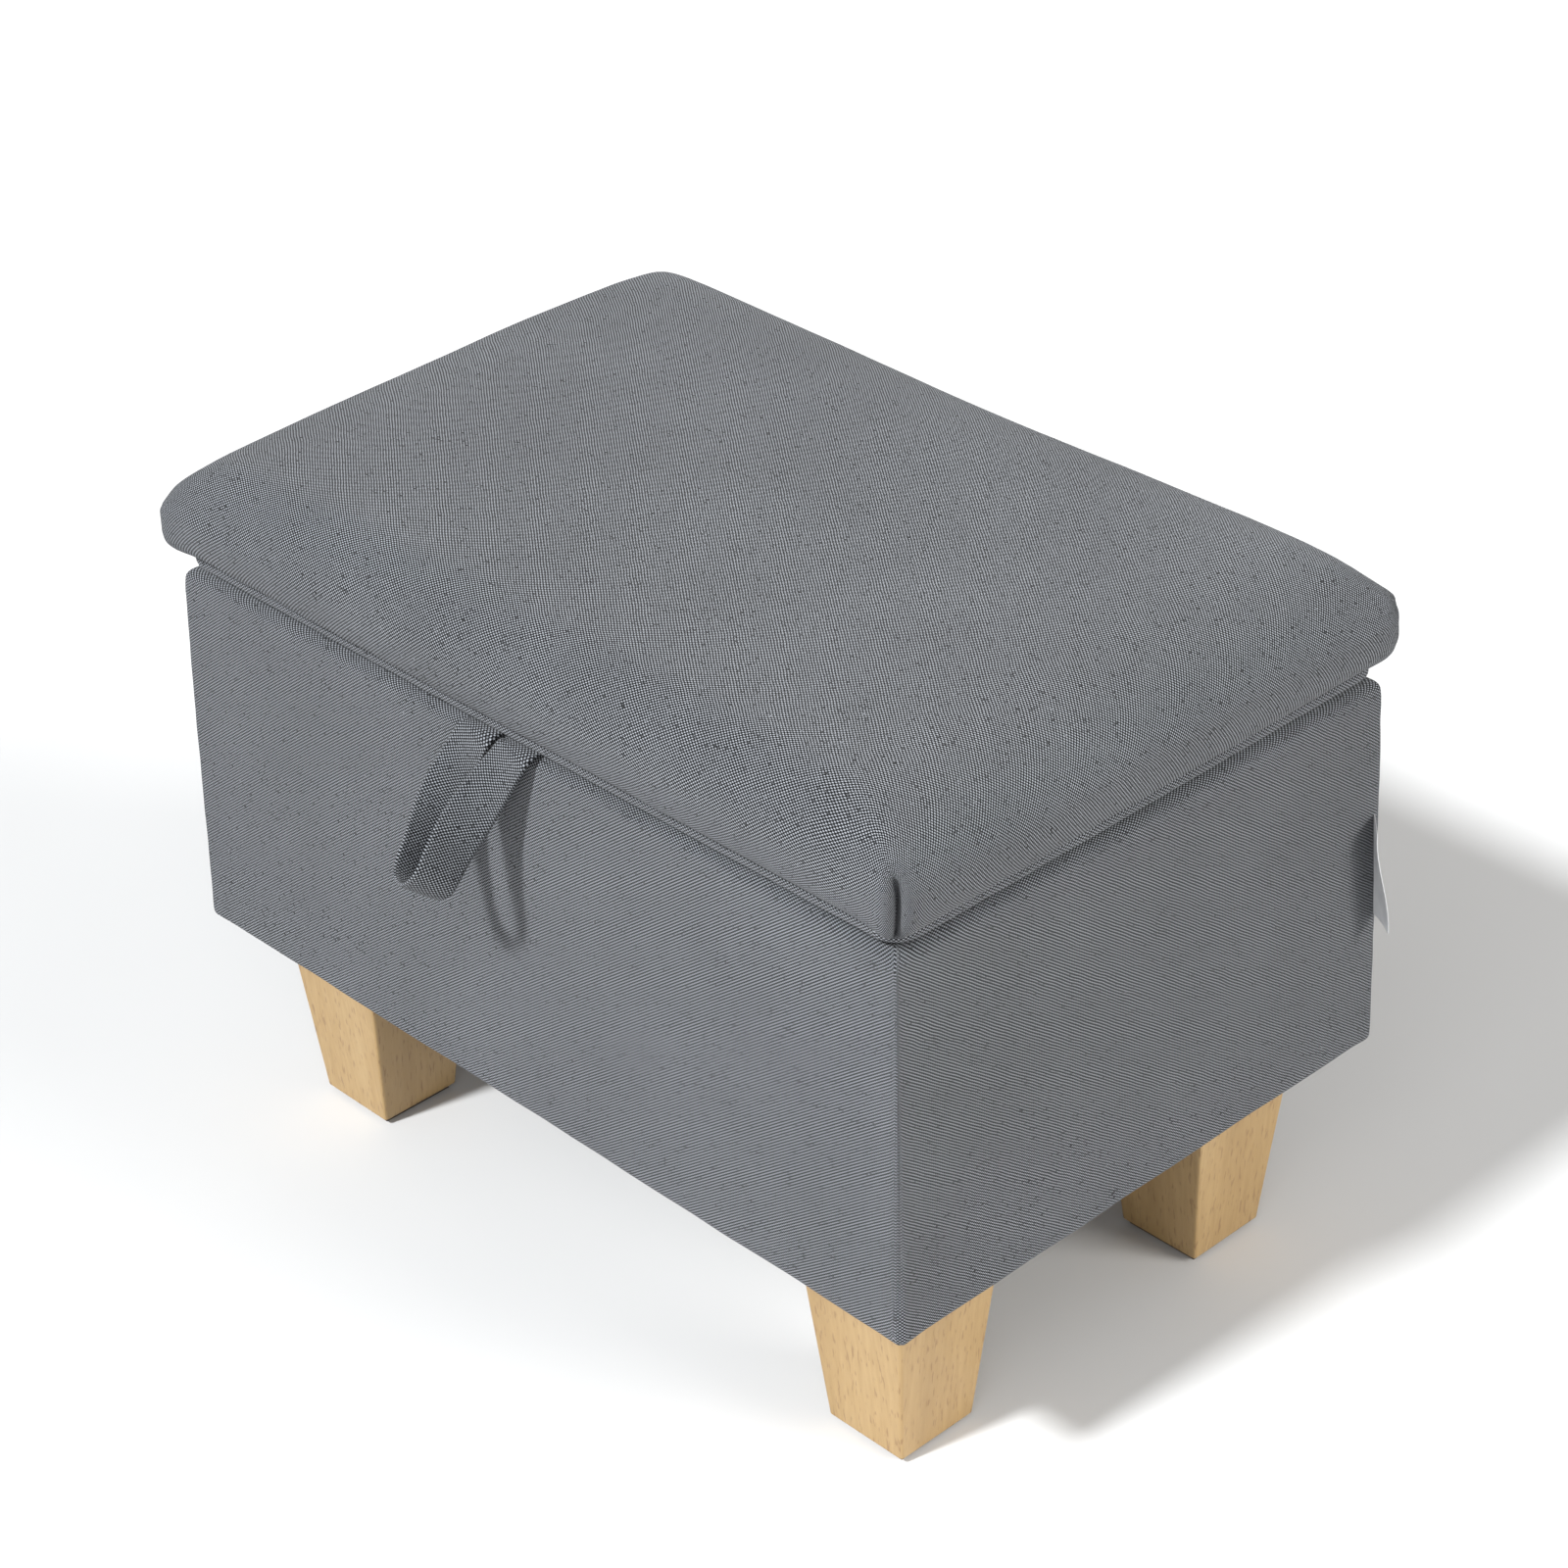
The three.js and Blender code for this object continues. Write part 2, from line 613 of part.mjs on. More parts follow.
// A direction square to the loop's axis, turned from across the loop towards its outer face.
function aroundLoop(angle) {
  return STRAP_ACROSS.clone().multiplyScalar(Math.cos(angle)).addScaledVector(STRAP_OUT, Math.sin(angle));
}

// The tape's middle and its width direction on the right-hand leg (way 1) or the left-hand leg (way -1).
function strapLeg(share, way) {
  const ease = THREE.MathUtils.smoothstep(share, 0, 1);
  const from = THREE.MathUtils.lerp(STRAP_SIDE, STRAP_TURN_R, share);
  const bow = Math.sin(Math.PI * share);
  const middle = STRAP_ROOT.clone()
    .addScaledVector(STRAP_ALONG, share * STRAP_RUN)
    .addScaledVector(STRAP_ACROSS, share * STRAP_DRIFT + bow * STRAP_BOW[0])
    .addScaledVector(STRAP_OUT, bow * STRAP_BOW[1])
    .addScaledVector(aroundLoop(ease * (Math.PI / 2 - STRAP_TWIST)), way * from);
  return { middle, width: aroundLoop(-ease * STRAP_TWIST) };
}

function strapStations() {
  const stations = [];
  const shareAt = (i) => THREE.MathUtils.lerp(STRAP_START, 1, i / STRAP_LEG_STEPS);
  for (let i = 0; i <= STRAP_LEG_STEPS; i++) stations.push(strapLeg(shareAt(i), 1));
  const centre = STRAP_ROOT.clone()
    .addScaledVector(STRAP_ALONG, STRAP_RUN)
    .addScaledVector(STRAP_ACROSS, STRAP_DRIFT);
  for (let i = 1; i < STRAP_TURN_STEPS; i++) {
    const angle = Math.PI / 2 - (Math.PI * i) / STRAP_TURN_STEPS;
    const middle = centre
      .clone()
      .addScaledVector(STRAP_ALONG, STRAP_TURN_R * Math.cos(angle))
      .addScaledVector(aroundLoop(Math.PI / 2 - STRAP_TWIST), STRAP_TURN_R * Math.sin(angle));
    stations.push({ middle, width: aroundLoop(-STRAP_TWIST) });
  }
  for (let i = STRAP_LEG_STEPS; i >= 0; i--) stations.push(strapLeg(shareAt(i), -1));
  return stations;
}

function strapGeometry() {
  const stations = strapStations();
  const rings = stations.map(({ middle, width }, i) => {
    const before = stations[Math.max(i - 1, 0)].middle;
    const after = stations[Math.min(i + 1, stations.length - 1)].middle;
    const ahead = after.clone().sub(before).normalize();
    const across = width.clone().addScaledVector(ahead, -width.dot(ahead)).normalize();
    const face = new THREE.Vector3().crossVectors(ahead, across);
    const corners = [
      [1, 1],
      [1, -1],
      [-1, -1],
      [-1, 1],
    ];
    return corners.map(([out, side]) =>
      middle
        .clone()
        .addScaledVector(face, (out * STRAP_T) / 2)
        .addScaledVector(across, (side * STRAP_W) / 2),
    );
  });
  return loft(rings);
}
add("pull_strap", geometryOf(solidOf(strapGeometry())), GREY_FABRIC);

const TAIL_LONG = 40; // sewn ends of the loop, held side by side under the lid
const TAIL_CLEAR = 3.6; // free stretch between the loop and its sewn ends
const tail = boxBetween(
  [STRAP_X - STRAP_SIDE - STRAP_W / 2, STRAP_ROOT.y + TAIL_CLEAR, RIM + GAP],
  [STRAP_X + STRAP_SIDE + STRAP_W / 2, STRAP_ROOT.y + TAIL_LONG, LID_BOTTOM - 0.9],
);
add("strap_tail", tail, GREY_FABRIC);

// ---------------------------------------------------------------- side tag in the back right seam

const TAG_LONG = 58;
const TAG_WIDE = 20;
const TAG_THICK = 0.8;
const TAG_Z = RIM - 128;
const TAG_TURN = THREE.MathUtils.degToRad(72); // from straight out of the right side, towards the front
const tagGeometry = boxBetween([-TAG_THICK / 2, 0, 0], [TAG_THICK / 2, TAG_WIDE, TAG_LONG]);
const tag = add("side_tag", tagGeometry, WHITE_TAG);
tag.rotation.z = -Math.PI / 2 - TAG_TURN;
tag.position.set(BODY_W / 2 - 1.2, BODY_D / 2 - 4, TAG_Z);

// ---------------------------------------------------------------- frame

const overall = new THREE.Box3().setFromObject(ottoman, true);
ottoman.position.y = -Math.round((overall.min.y + overall.max.y) / 2);

export default ottoman;
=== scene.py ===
"""Looks of the storage ottoman: sewn covers, a simulated cushion, the pull loop, the tag and materials.

Metres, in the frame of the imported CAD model: X along the front, -Y the front, +Z up.
"""

import math

import bpy
from mathutils import Matrix, Vector, noise


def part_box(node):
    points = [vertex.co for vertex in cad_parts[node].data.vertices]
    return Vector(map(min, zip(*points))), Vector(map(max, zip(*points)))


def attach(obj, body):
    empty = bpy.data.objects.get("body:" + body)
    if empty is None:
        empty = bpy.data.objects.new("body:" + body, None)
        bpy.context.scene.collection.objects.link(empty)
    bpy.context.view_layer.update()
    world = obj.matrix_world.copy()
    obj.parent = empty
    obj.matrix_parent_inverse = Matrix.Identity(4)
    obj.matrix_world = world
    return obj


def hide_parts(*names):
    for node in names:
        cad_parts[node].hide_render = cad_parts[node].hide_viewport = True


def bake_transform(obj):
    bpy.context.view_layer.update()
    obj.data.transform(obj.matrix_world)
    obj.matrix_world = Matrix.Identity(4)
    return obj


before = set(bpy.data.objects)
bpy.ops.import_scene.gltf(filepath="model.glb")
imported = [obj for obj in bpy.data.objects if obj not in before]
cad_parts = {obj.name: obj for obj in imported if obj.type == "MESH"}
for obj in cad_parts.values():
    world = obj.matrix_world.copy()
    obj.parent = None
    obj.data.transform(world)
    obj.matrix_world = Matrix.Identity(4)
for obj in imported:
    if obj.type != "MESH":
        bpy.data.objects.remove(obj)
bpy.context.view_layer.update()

MM = 0.001
X_AXIS = Vector((1, 0, 0))

# ---- places taken from the frame

front_low, front_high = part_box("cover_front")
_, back_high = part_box("cover_back")
_, right_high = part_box("cover_right")
lid_low, lid_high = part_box("lid_cover")
_, board_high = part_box("lid_board")
tail_low, tail_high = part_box("strap_tail")
tag_low, tag_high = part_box("side_tag")

MIDDLE_Y = (front_low.y + back_high.y) / 2
BODY_X = right_high.x
BODY_Y = (back_high.y - front_low.y) / 2
BODY_BOTTOM = front_low.z
RIM = front_high.z
LEAN = 4.7 * MM  # the walls lean in by this much from bottom edge to rim
LID_X = lid_high.x
LID_Y = (lid_high.y - lid_low.y) / 2
LID_BOTTOM = lid_low.z
LID_TOP = lid_high.z
BOARD_TOP = board_high.z


# ---- small helpers

def lerp(a, b, share):
    return a + (b - a) * share


def clamp(value, low=0.0, high=1.0):
    return max(low, min(high, value))


def smooth(edge_0, edge_1, value):
    """0 before edge_0, 1 after edge_1 and an S curve between them."""
    share = clamp((value - edge_0) / (edge_1 - edge_0))
    return share * share * (3 - 2 * share)


def bell(distance, width):
    return math.exp(-((distance / width) ** 2))


def ripple(x, y, z, size, seed):
    """Smooth noise from -1 to 1 with bumps of about that size."""
    return noise.noise(Vector((x / size + seed, y / size - seed, z / size + 3.7 * seed)))


def waves(x, y, z, kinds):
    """Several ripples together; each kind is (height, size, seed)."""
    return sum(height * ripple(x, y, z, size, seed) for height, size, seed in kinds)


def quarter(reach, rise, steps, power=2.0):
    """Points of a quarter of a superellipse, from (0, 0) going up and in, as (inward, upward) pairs."""
    points = []
    for step in range(steps + 1):
        angle = math.pi / 2 * step / steps
        inward = reach * (1 - math.cos(angle) ** (2 / power))
        upward = rise * math.sin(angle) ** (2 / power)
        points.append((inward, upward))
    return points


def skin(rows, columns, place, closed=False, down_first=False):
    """Quads between rows of points, and each corner's place in the cloth from place(row, column)."""
    quad = [(0, 0), (0, 1), (1, 1), (1, 0)]
    if down_first:
        quad = [(0, 0), (1, 0), (1, 1), (0, 1)]
    faces, cloth = [], []
    for row in range(rows - 1):
        for column in range(columns if closed else columns - 1):
            corners = [(row + down, column + along) for down, along in quad]
            faces.append(tuple(r * columns + c % columns for r, c in corners))
            cloth.append([place(r, c) for r, c in corners])
    return faces, cloth


def build(name, points, faces, cloth, material, body=None):
    """A smooth mesh piece that rides on a body. cloth holds each face's corners as places in the cloth."""
    mesh = bpy.data.meshes.new(name)
    mesh.from_pydata([tuple(point) for point in points], [], faces)
    layer = mesh.uv_layers.new(name="cloth")
    for polygon, corners in zip(mesh.polygons, cloth):
        for loop, place in zip(polygon.loop_indices, corners):
            layer.data[loop].uv = place
    mesh.materials.append(material)
    mesh.polygons.foreach_set("use_smooth", [True] * len(mesh.polygons))
    mesh.update()
    piece = bpy.data.objects.new(name, mesh)
    bpy.context.scene.collection.objects.link(piece)
    if body:
        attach(piece, body)
    return piece


def thicken(piece, thickness, side=-1.0):
    modifier = piece.modifiers.new("cloth thickness", "SOLIDIFY")
    modifier.thickness = thickness
    modifier.offset = side
    modifier.use_even_offset = False


def subdivide(piece):
    modifier = piece.modifiers.new("smooth cloth", "SUBSURF")
    modifier.levels = 1
    modifier.render_levels = 1


def apply_modifiers(piece):
    """Turns the piece's modifiers into mesh."""
    graph = bpy.context.evaluated_depsgraph_get()
    mesh = bpy.data.meshes.new_from_object(piece.evaluated_get(graph), depsgraph=graph)
    mesh.name = piece.name
    piece.modifiers.clear()
    piece.data = mesh


# ---- materials

class Nodes:
    """Short calls for building a material's node tree."""

    def __init__(self, name):
        self.material = bpy.data.materials.new(name)
        self.material.use_nodes = True
        self.tree = self.material.node_tree
        self.shader = self.tree.nodes["Principled BSDF"]

    def node(self, kind, **settings):
        made = self.tree.nodes.new("ShaderNode" + kind)
        for key, value in settings.items():
            setattr(made, key, value)
        return made

    def link(self, source, target):
        if isinstance(source, bpy.types.NodeSocket):
            self.tree.links.new(source, target)
        else:
            target.default_value = source

    def math(self, operation, a, b=0.0, c=0.0):
        made = self.node("Math", operation=operation)
        for source, target in zip((a, b, c), made.inputs):
            self.link(source, target)
        return made.outputs[0]

    def times(self, a, b):
        return self.math("MULTIPLY", a, b)

    def minus(self, a, b):
        return self.math("SUBTRACT", a, b)

    def scaled(self, value, factor, added):
        return self.math("MULTIPLY_ADD", value, factor, added)

    def choose(self, share, first, second):
        """first where share is 1, and second where it is 0."""
        return self.math("ADD", self.times(first, share), self.times(second, self.minus(1.0, share)))

    def object_place(self):
        """Where a point is in the frame of the model, in metres."""
        return self.node("TexCoord").outputs["Object"]

    def stretched_place(self, per_metre):
        """The same in noise cells, so many per metre for each axis, so that noise follows a grain."""
        made = self.node("Mapping")
        self.link(self.object_place(), made.inputs["Vector"])
        made.inputs["Scale"].default_value = per_metre
        return made.outputs[0]

    def cloth_place(self):
        """How far along the weft and along the warp a point is, in metres."""
        along_weft, along_warp, _ = self.separate(self.node("UVMap", uv_map="cloth").outputs[0])
        return along_weft, along_warp

    def combine(self, x, y, z=0.0):
        made = self.node("CombineXYZ")
        for source, target in zip((x, y, z), made.inputs):
            self.link(source, target)
        return made.outputs[0]

    def separate(self, vector):
        made = self.node("SeparateXYZ")
        self.link(vector, made.inputs[0])
        return made.outputs

    def noise(self, vector, scale, detail=2.0, roughness=0.5):
        made = self.node("TexNoise")
        self.link(vector, made.inputs["Vector"])
        made.inputs["Scale"].default_value = scale
        made.inputs["Detail"].default_value = detail
        made.inputs["Roughness"].default_value = roughness
        return made.outputs[0]

    def speckle(self, vector):
        made = self.node("TexWhiteNoise", noise_dimensions="3D")
        self.link(vector, made.inputs["Vector"])
        return made.outputs["Value"]

    def spread(self, value, low, high, to_low=0.0, to_high=1.0):
        made = self.node("MapRange")
        for source, target in zip((value, low, high, to_low, to_high), made.inputs):
            self.link(source, target)
        return made.outputs[0]

    def blend(self, share, first, second, mode="MIX"):
        made = self.node("Mix", data_type="RGBA", blend_type=mode)
        for source, target in ((share, 0), (first, 6), (second, 7)):
            self.link(source, made.inputs[target])
        return made.outputs[2]

    def ramp(self, value, stops):
        made = self.node("ValToRGB")
        elements = made.color_ramp.elements
        while len(elements) < len(stops):
            elements.new(0.5)
        for element, (place, color) in zip(elements, stops):
            element.position = place
            element.color = (*color, 1)
        self.link(value, made.inputs[0])
        return made.outputs[0]

    def bump(self, height, depth, strength=1.0, under=None):
        """height is from 0 to 1, and depth is what 1 means, in metres."""
        made = self.node("Bump")
        made.inputs["Strength"].default_value = strength
        made.inputs["Distance"].default_value = depth
        self.link(height, made.inputs["Height"])
        if under:
            self.link(under, made.inputs["Normal"])
        return made.outputs[0]

    def finish(self, **values):
        names = {
            "color": "Base Color",
            "roughness": "Roughness",
            "metallic": "Metallic",
            "normal": "Normal",
            "sheen": "Sheen Weight",
            "sheen_roughness": "Sheen Roughness",
            "specular": "Specular IOR Level",
            "coat": "Coat Weight",
            "coat_roughness": "Coat Roughness",
        }
        for key, value in values.items():
            self.link(value, self.shader.inputs[names[key]])
        return self.material


WARP_PITCH = 1.11 * MM  # between yarns that run up the walls and across the lid's depth
WEFT_PITCH = 0.86 * MM  # between yarns that run round the body and along the lid's length
WARP_WANDER = 0.55  # how many pitches a yarn strays from its straight line
WEFT_WANDER = 0.7
WANDER_LENGTH = 12 * MM
WEFT_STREAK = 5 * MM  # length of the lighter and darker stretches of one yarn
WARP_STREAK = 4 * MM
WEFT_APART = 7.31  # steps in the noise from one yarn to the next, so that neighbours differ
WARP_APART = 5.17
STREAK_SPREAD = 1.24  # how strongly the streaks differ in shade
CROSSING_SPREAD = 0.13  # how much single crossings of two yarns differ in shade
WEFT_LIGHTER = 0.37  # how much lighter the weft is than the warp
SHADE_REACH = 0.3  # how far from the middle the shade is darkest and lightest
MIDDLE_SHARE = 0.2  # how light the middle of the ramp is, between its dark and its light end
YARN_EDGE = 0.45  # height of a yarn where it dives under the next one, as a share of its crown
GAP_PAINTED_SHADE = 0.08  # painted shade in the gaps between the yarns: what is left of the colour there
PATCH_SIZE = 90 * MM  # slightly lighter and darker areas of the cloth
YARN_DEPTH = 0.4 * MM  # from the crown of a yarn down to the gap beside it
FUZZ_SIZE = 0.4 * MM
FUZZ_DEPTH = 0.05 * MM


def yarn_streaks(nodes, x, y):
    """Lighter and darker stretches of yarns, one direction along them and the other across."""
    return nodes.noise(nodes.combine(x, y), 1.0, 2.0, 0.65)


def make_fabric(name, dark, light, contrast=1.0):
    """Plain weave of mixed grey yarns: light weft over dark warp, with streaks along each yarn and painted
    shade in the gaps between the yarns.
    """
    nodes = Nodes(name)
    along_weft, along_warp = nodes.cloth_place()
    place = nodes.combine(along_weft, along_warp)
    wander = nodes.minus(nodes.noise(place, 1 / WANDER_LENGTH, 1.0), 0.5)
    across_warp = nodes.scaled(along_weft, 1 / WARP_PITCH, nodes.times(wander, WARP_WANDER))
    across_weft = nodes.scaled(along_warp, 1 / WEFT_PITCH, nodes.times(wander, WEFT_WANDER))
    warp_number = nodes.math("FLOOR", across_warp)
    weft_number = nodes.math("FLOOR", across_weft)
    crossing = nodes.math("ABSOLUTE", nodes.math("ADD", warp_number, weft_number))
    weft_on_top = nodes.math("MODULO", crossing, 2.0)

    in_warp = nodes.minus(nodes.math("FRACT", across_warp), 0.5)
    in_weft = nodes.minus(nodes.math("FRACT", across_weft), 0.5)
    round_warp = nodes.math("COSINE", nodes.times(in_warp, math.pi))
    round_weft = nodes.math("COSINE", nodes.times(in_weft, math.pi))
    arch_warp = nodes.scaled(round_weft, 1 - YARN_EDGE, YARN_EDGE)
    arch_weft = nodes.scaled(round_warp, 1 - YARN_EDGE, YARN_EDGE)
    height = nodes.choose(
        weft_on_top, nodes.times(round_weft, arch_weft), nodes.times(round_warp, arch_warp)
    )

    weft_streaks = yarn_streaks(
        nodes, nodes.times(along_weft, 1 / WEFT_STREAK), nodes.times(weft_number, WEFT_APART)
    )
    warp_streaks = yarn_streaks(
        nodes, nodes.times(warp_number, WARP_APART), nodes.times(along_warp, 1 / WARP_STREAK)
    )
    yarn = nodes.choose(weft_on_top, weft_streaks, warp_streaks)
    yarn = nodes.scaled(yarn, STREAK_SPREAD, (1 - STREAK_SPREAD) / 2)
    crossing_shade = nodes.speckle(nodes.combine(warp_number, weft_number, weft_on_top))
    grain = nodes.minus(crossing_shade, 0.5)
    mix = nodes.scaled(grain, CROSSING_SPREAD * contrast, yarn)
    lighter = nodes.minus(weft_on_top, 0.5)
    mix = nodes.scaled(lighter, WEFT_LIGHTER * contrast, mix)
    shade = nodes.spread(mix, 0.5 - SHADE_REACH / contrast, 0.5 + SHADE_REACH / contrast)
    middle = tuple(lerp(a, b, MIDDLE_SHARE) for a, b in zip(dark, light))
    color = nodes.ramp(shade, [(0.0, dark), (0.5, middle), (1.0, light)])
    # Painted shade: the colour darkens where the yarns dive into the gaps of the weave. Slow random
    # patches then make the cloth a little lighter or darker.
    painted_gap_shade = nodes.spread(height, 0.1, 0.85, GAP_PAINTED_SHADE, 1.0)
    patch = nodes.spread(nodes.noise(place, 1 / PATCH_SIZE, 3.0), 0.3, 0.7, 0.92, 1.06)
    gap_shade_and_patches = nodes.times(painted_gap_shade, patch)
    color = nodes.blend(1.0, color, nodes.combine(gap_shade_and_patches, gap_shade_and_patches, gap_shade_and_patches), "MULTIPLY")

    fuzz = nodes.bump(nodes.noise(place, 1 / FUZZ_SIZE, 2.0), FUZZ_DEPTH, 0.5)
    normal = nodes.bump(height, YARN_DEPTH, 0.95, fuzz)
    return nodes.finish(
        color=color, normal=normal, roughness=0.88, sheen=0.12, sheen_roughness=0.45, specular=0.18
    )


def make_beech(name):
    """Lacquered beech with the grain upright and short brown flecks."""
    nodes = Nodes(name)
    base = nodes.noise(nodes.stretched_place((28, 28, 2.2)), 1.0, 4.0, 0.55)
    fine = nodes.noise(nodes.stretched_place((420, 420, 14)), 1.0, 3.0, 0.6)
    flecks = nodes.noise(nodes.stretched_place((620, 620, 105)), 1.0, 1.0, 0.5)
    fleck = nodes.spread(flecks, 0.60, 0.70)
    shades = [(0.25, (0.345, 0.22, 0.088)), (0.5, (0.412, 0.27, 0.115)), (0.8, (0.456, 0.314, 0.148))]
    color = nodes.ramp(base, shades)
    color = nodes.blend(nodes.spread(fine, 0.35, 0.7, 0.0, 0.3), color, (0.28, 0.17, 0.07, 1))
    color = nodes.blend(nodes.times(fleck, 0.55), color, (0.2, 0.1, 0.04, 1))
    rough = nodes.spread(fine, 0.3, 0.7, 0.38, 0.5)
    height = nodes.minus(nodes.times(fine, 0.5), fleck)
    normal = nodes.bump(height, 0.05 * MM, 0.5)
    return nodes.finish(color=color, roughness=rough, normal=normal, coat=0.12, coat_roughness=0.3)


def make_plywood(name):
    """Bare plywood with its face grain along X."""
    nodes = Nodes(name)
    face = nodes.noise(nodes.stretched_place((5, 60, 60)), 1.0, 5.0, 0.6)
    pores = nodes.noise(nodes.stretched_place((60, 900, 900)), 1.0, 2.0)
    shades = [(0.3, (0.42, 0.27, 0.13)), (0.55, (0.58, 0.4, 0.21)), (0.8, (0.66, 0.49, 0.29))]
    color = nodes.ramp(face, shades)
    color = nodes.blend(nodes.spread(pores, 0.55, 0.7, 0.0, 0.35), color, (0.25, 0.14, 0.06, 1))
    return nodes.finish(color=color, roughness=0.75, normal=nodes.bump(pores, 0.06 * MM, 0.5))


def make_fibres(name, dark, light, size, depth):
    """Felt or wadding: tangled fibres of that size with soft clumps."""
    nodes = Nodes(name)
    place = nodes.object_place()
    clumps = nodes.noise(place, 0.2 / size, 3.0)
    fibres = nodes.noise(place, 1 / size, 4.0, 0.7)
    shade = nodes.scaled(clumps, 0.4, nodes.times(fibres, 0.6))
    color = nodes.ramp(shade, [(0.3, dark), (0.7, light)])
    normal = nodes.bump(fibres, depth, 0.7)
    return nodes.finish(color=color, roughness=0.95, sheen=0.1, sheen_roughness=0.5, normal=normal)


SPUNBOND_PITCH = 1.6 * MM  # between the pressed points of non-woven cloth
SPUNBOND_FIBRE = 0.7 * MM


def make_spunbond(name, dark, light):
    """Thin non-woven cloth with a grid of small pressed points."""
    nodes = Nodes(name)
    place = nodes.object_place()
    turn = 2 * math.pi / SPUNBOND_PITCH
    axes = nodes.separate(place)
    wave_x, wave_y, wave_z = (nodes.math("COSINE", nodes.times(axis, turn)) for axis in axes)
    on_level = nodes.times(wave_x, wave_y)
    on_walls = nodes.times(wave_z, nodes.math("MAXIMUM", wave_x, wave_y))
    pressed = nodes.spread(nodes.math("MAXIMUM", on_level, on_walls), 0.35, 0.8)
    fibres = nodes.noise(place, 1 / SPUNBOND_FIBRE, 4.0, 0.7)
    color = nodes.ramp(nodes.scaled(pressed, -0.25, fibres), [(0.2, dark), (0.8, light)])
    height = nodes.scaled(pressed, -0.8, nodes.times(fibres, 0.4))
    normal = nodes.bump(height, 0.12 * MM, 0.8)
    return nodes.finish(color=color, roughness=0.8, sheen=0.08, sheen_roughness=0.4, normal=normal)


FOAM_CELL = 1.2 * MM


def make_foam(name):
    """Open-celled foam, with painted shade in the hollow of each cell."""
    nodes = Nodes(name)
    cells = nodes.node("TexVoronoi", feature="F1")
    nodes.link(nodes.object_place(), cells.inputs["Vector"])
    cells.inputs["Scale"].default_value = 1 / FOAM_CELL
    cell = cells.outputs["Distance"]
    # Painted shade: the colour is darkest at each cell's middle, where the bump dents it deepest.
    color = nodes.ramp(cell, [(0.0, (0.45, 0.38, 0.24)), (0.6, (0.74, 0.68, 0.52))])
    return nodes.finish(color=color, roughness=0.95, normal=nodes.bump(cell, 0.4 * MM, 0.8))


def make_zinc(name):
    """Zinc-plated steel: soft patches and fine rolling marks."""
    nodes = Nodes(name)
    patches = nodes.noise(nodes.object_place(), 1 / (6 * MM), 3.0)
    marks = nodes.noise(nodes.stretched_place((90, 3000, 3000)), 1.0, 2.0)
    color = nodes.ramp(patches, [(0.3, (0.52, 0.54, 0.56)), (0.7, (0.74, 0.75, 0.75))])
    rough = nodes.spread(nodes.scaled(marks, 0.5, patches), 0.4, 1.1, 0.24, 0.46)
    normal = nodes.bump(marks, 0.02 * MM, 0.4)
    return nodes.finish(color=color, metallic=1.0, roughness=rough, normal=normal)


TAG_RIB_PITCH = 0.4 * MM


def make_ribbon(name):
    """Blank satin ribbon with fine ribs."""
    nodes = Nodes(name)
    along, up = nodes.cloth_place()
    ribs = nodes.math("SINE", nodes.times(up, 2 * math.pi / TAG_RIB_PITCH))
    soft = nodes.noise(nodes.combine(along, up), 1 / (10 * MM), 3.0)
    color = nodes.ramp(soft, [(0.3, (0.68, 0.69, 0.71)), (0.7, (0.8, 0.8, 0.81))])
    normal = nodes.bump(ribs, 0.03 * MM, 0.5)
    return nodes.finish(color=color, roughness=0.55, sheen=0.1, sheen_roughness=0.4, normal=normal)


def make_studio_paint(name):
    """Plain pale floor."""
    nodes = Nodes(name)
    soft = nodes.noise(nodes.object_place(), 1 / 0.6, 3.0)
    color = nodes.ramp(soft, [(0.3, (0.64, 0.64, 0.64)), (0.7, (0.68, 0.68, 0.68))])
    return nodes.finish(color=color, roughness=0.9, specular=0.1)


FABRIC = make_fabric("grey_weave", (0.004, 0.005, 0.007), (0.368, 0.387, 0.422), contrast=1.7)
BEECH = make_beech("beech_legs")
PLYWOOD = make_plywood("plywood_boards")
FELT = make_fibres("felt_pads", (0.03, 0.022, 0.016), (0.11, 0.085, 0.065), 0.5 * MM, 0.2 * MM)
WADDING = make_fibres("polyester_wadding", (0.62, 0.62, 0.6), (0.88, 0.88, 0.86), 1.2 * MM, 0.5 * MM)
BLACK_CLOTH = make_spunbond("black_spunbond", (0.008, 0.008, 0.009), (0.035, 0.035, 0.038))
FOAM = make_foam("seat_foam")
ZINC = make_zinc("zinc_steel")
RIBBON = make_ribbon("blank_ribbon")
FLOOR_PAINT = make_studio_paint("studio_floor")

FINISHES = {
    "grey_fabric": FABRIC,
    "black_cloth": BLACK_CLOTH,
    "plywood": PLYWOOD,
    "beech": BEECH,
    "wadding": WADDING,
    "foam": FOAM,
    "zinc_steel": ZINC,
    "felt": FELT,
    "white_tag": RIBBON,
}
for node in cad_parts.values():
    slot = node.data.materials[0].name
    node.data.materials.clear()
    node.data.materials.append(FINISHES[slot])


# ---- cloth made as rings

LEAST_RADIUS = 0.6 * MM  # of a loop's corners, however far in the loop is


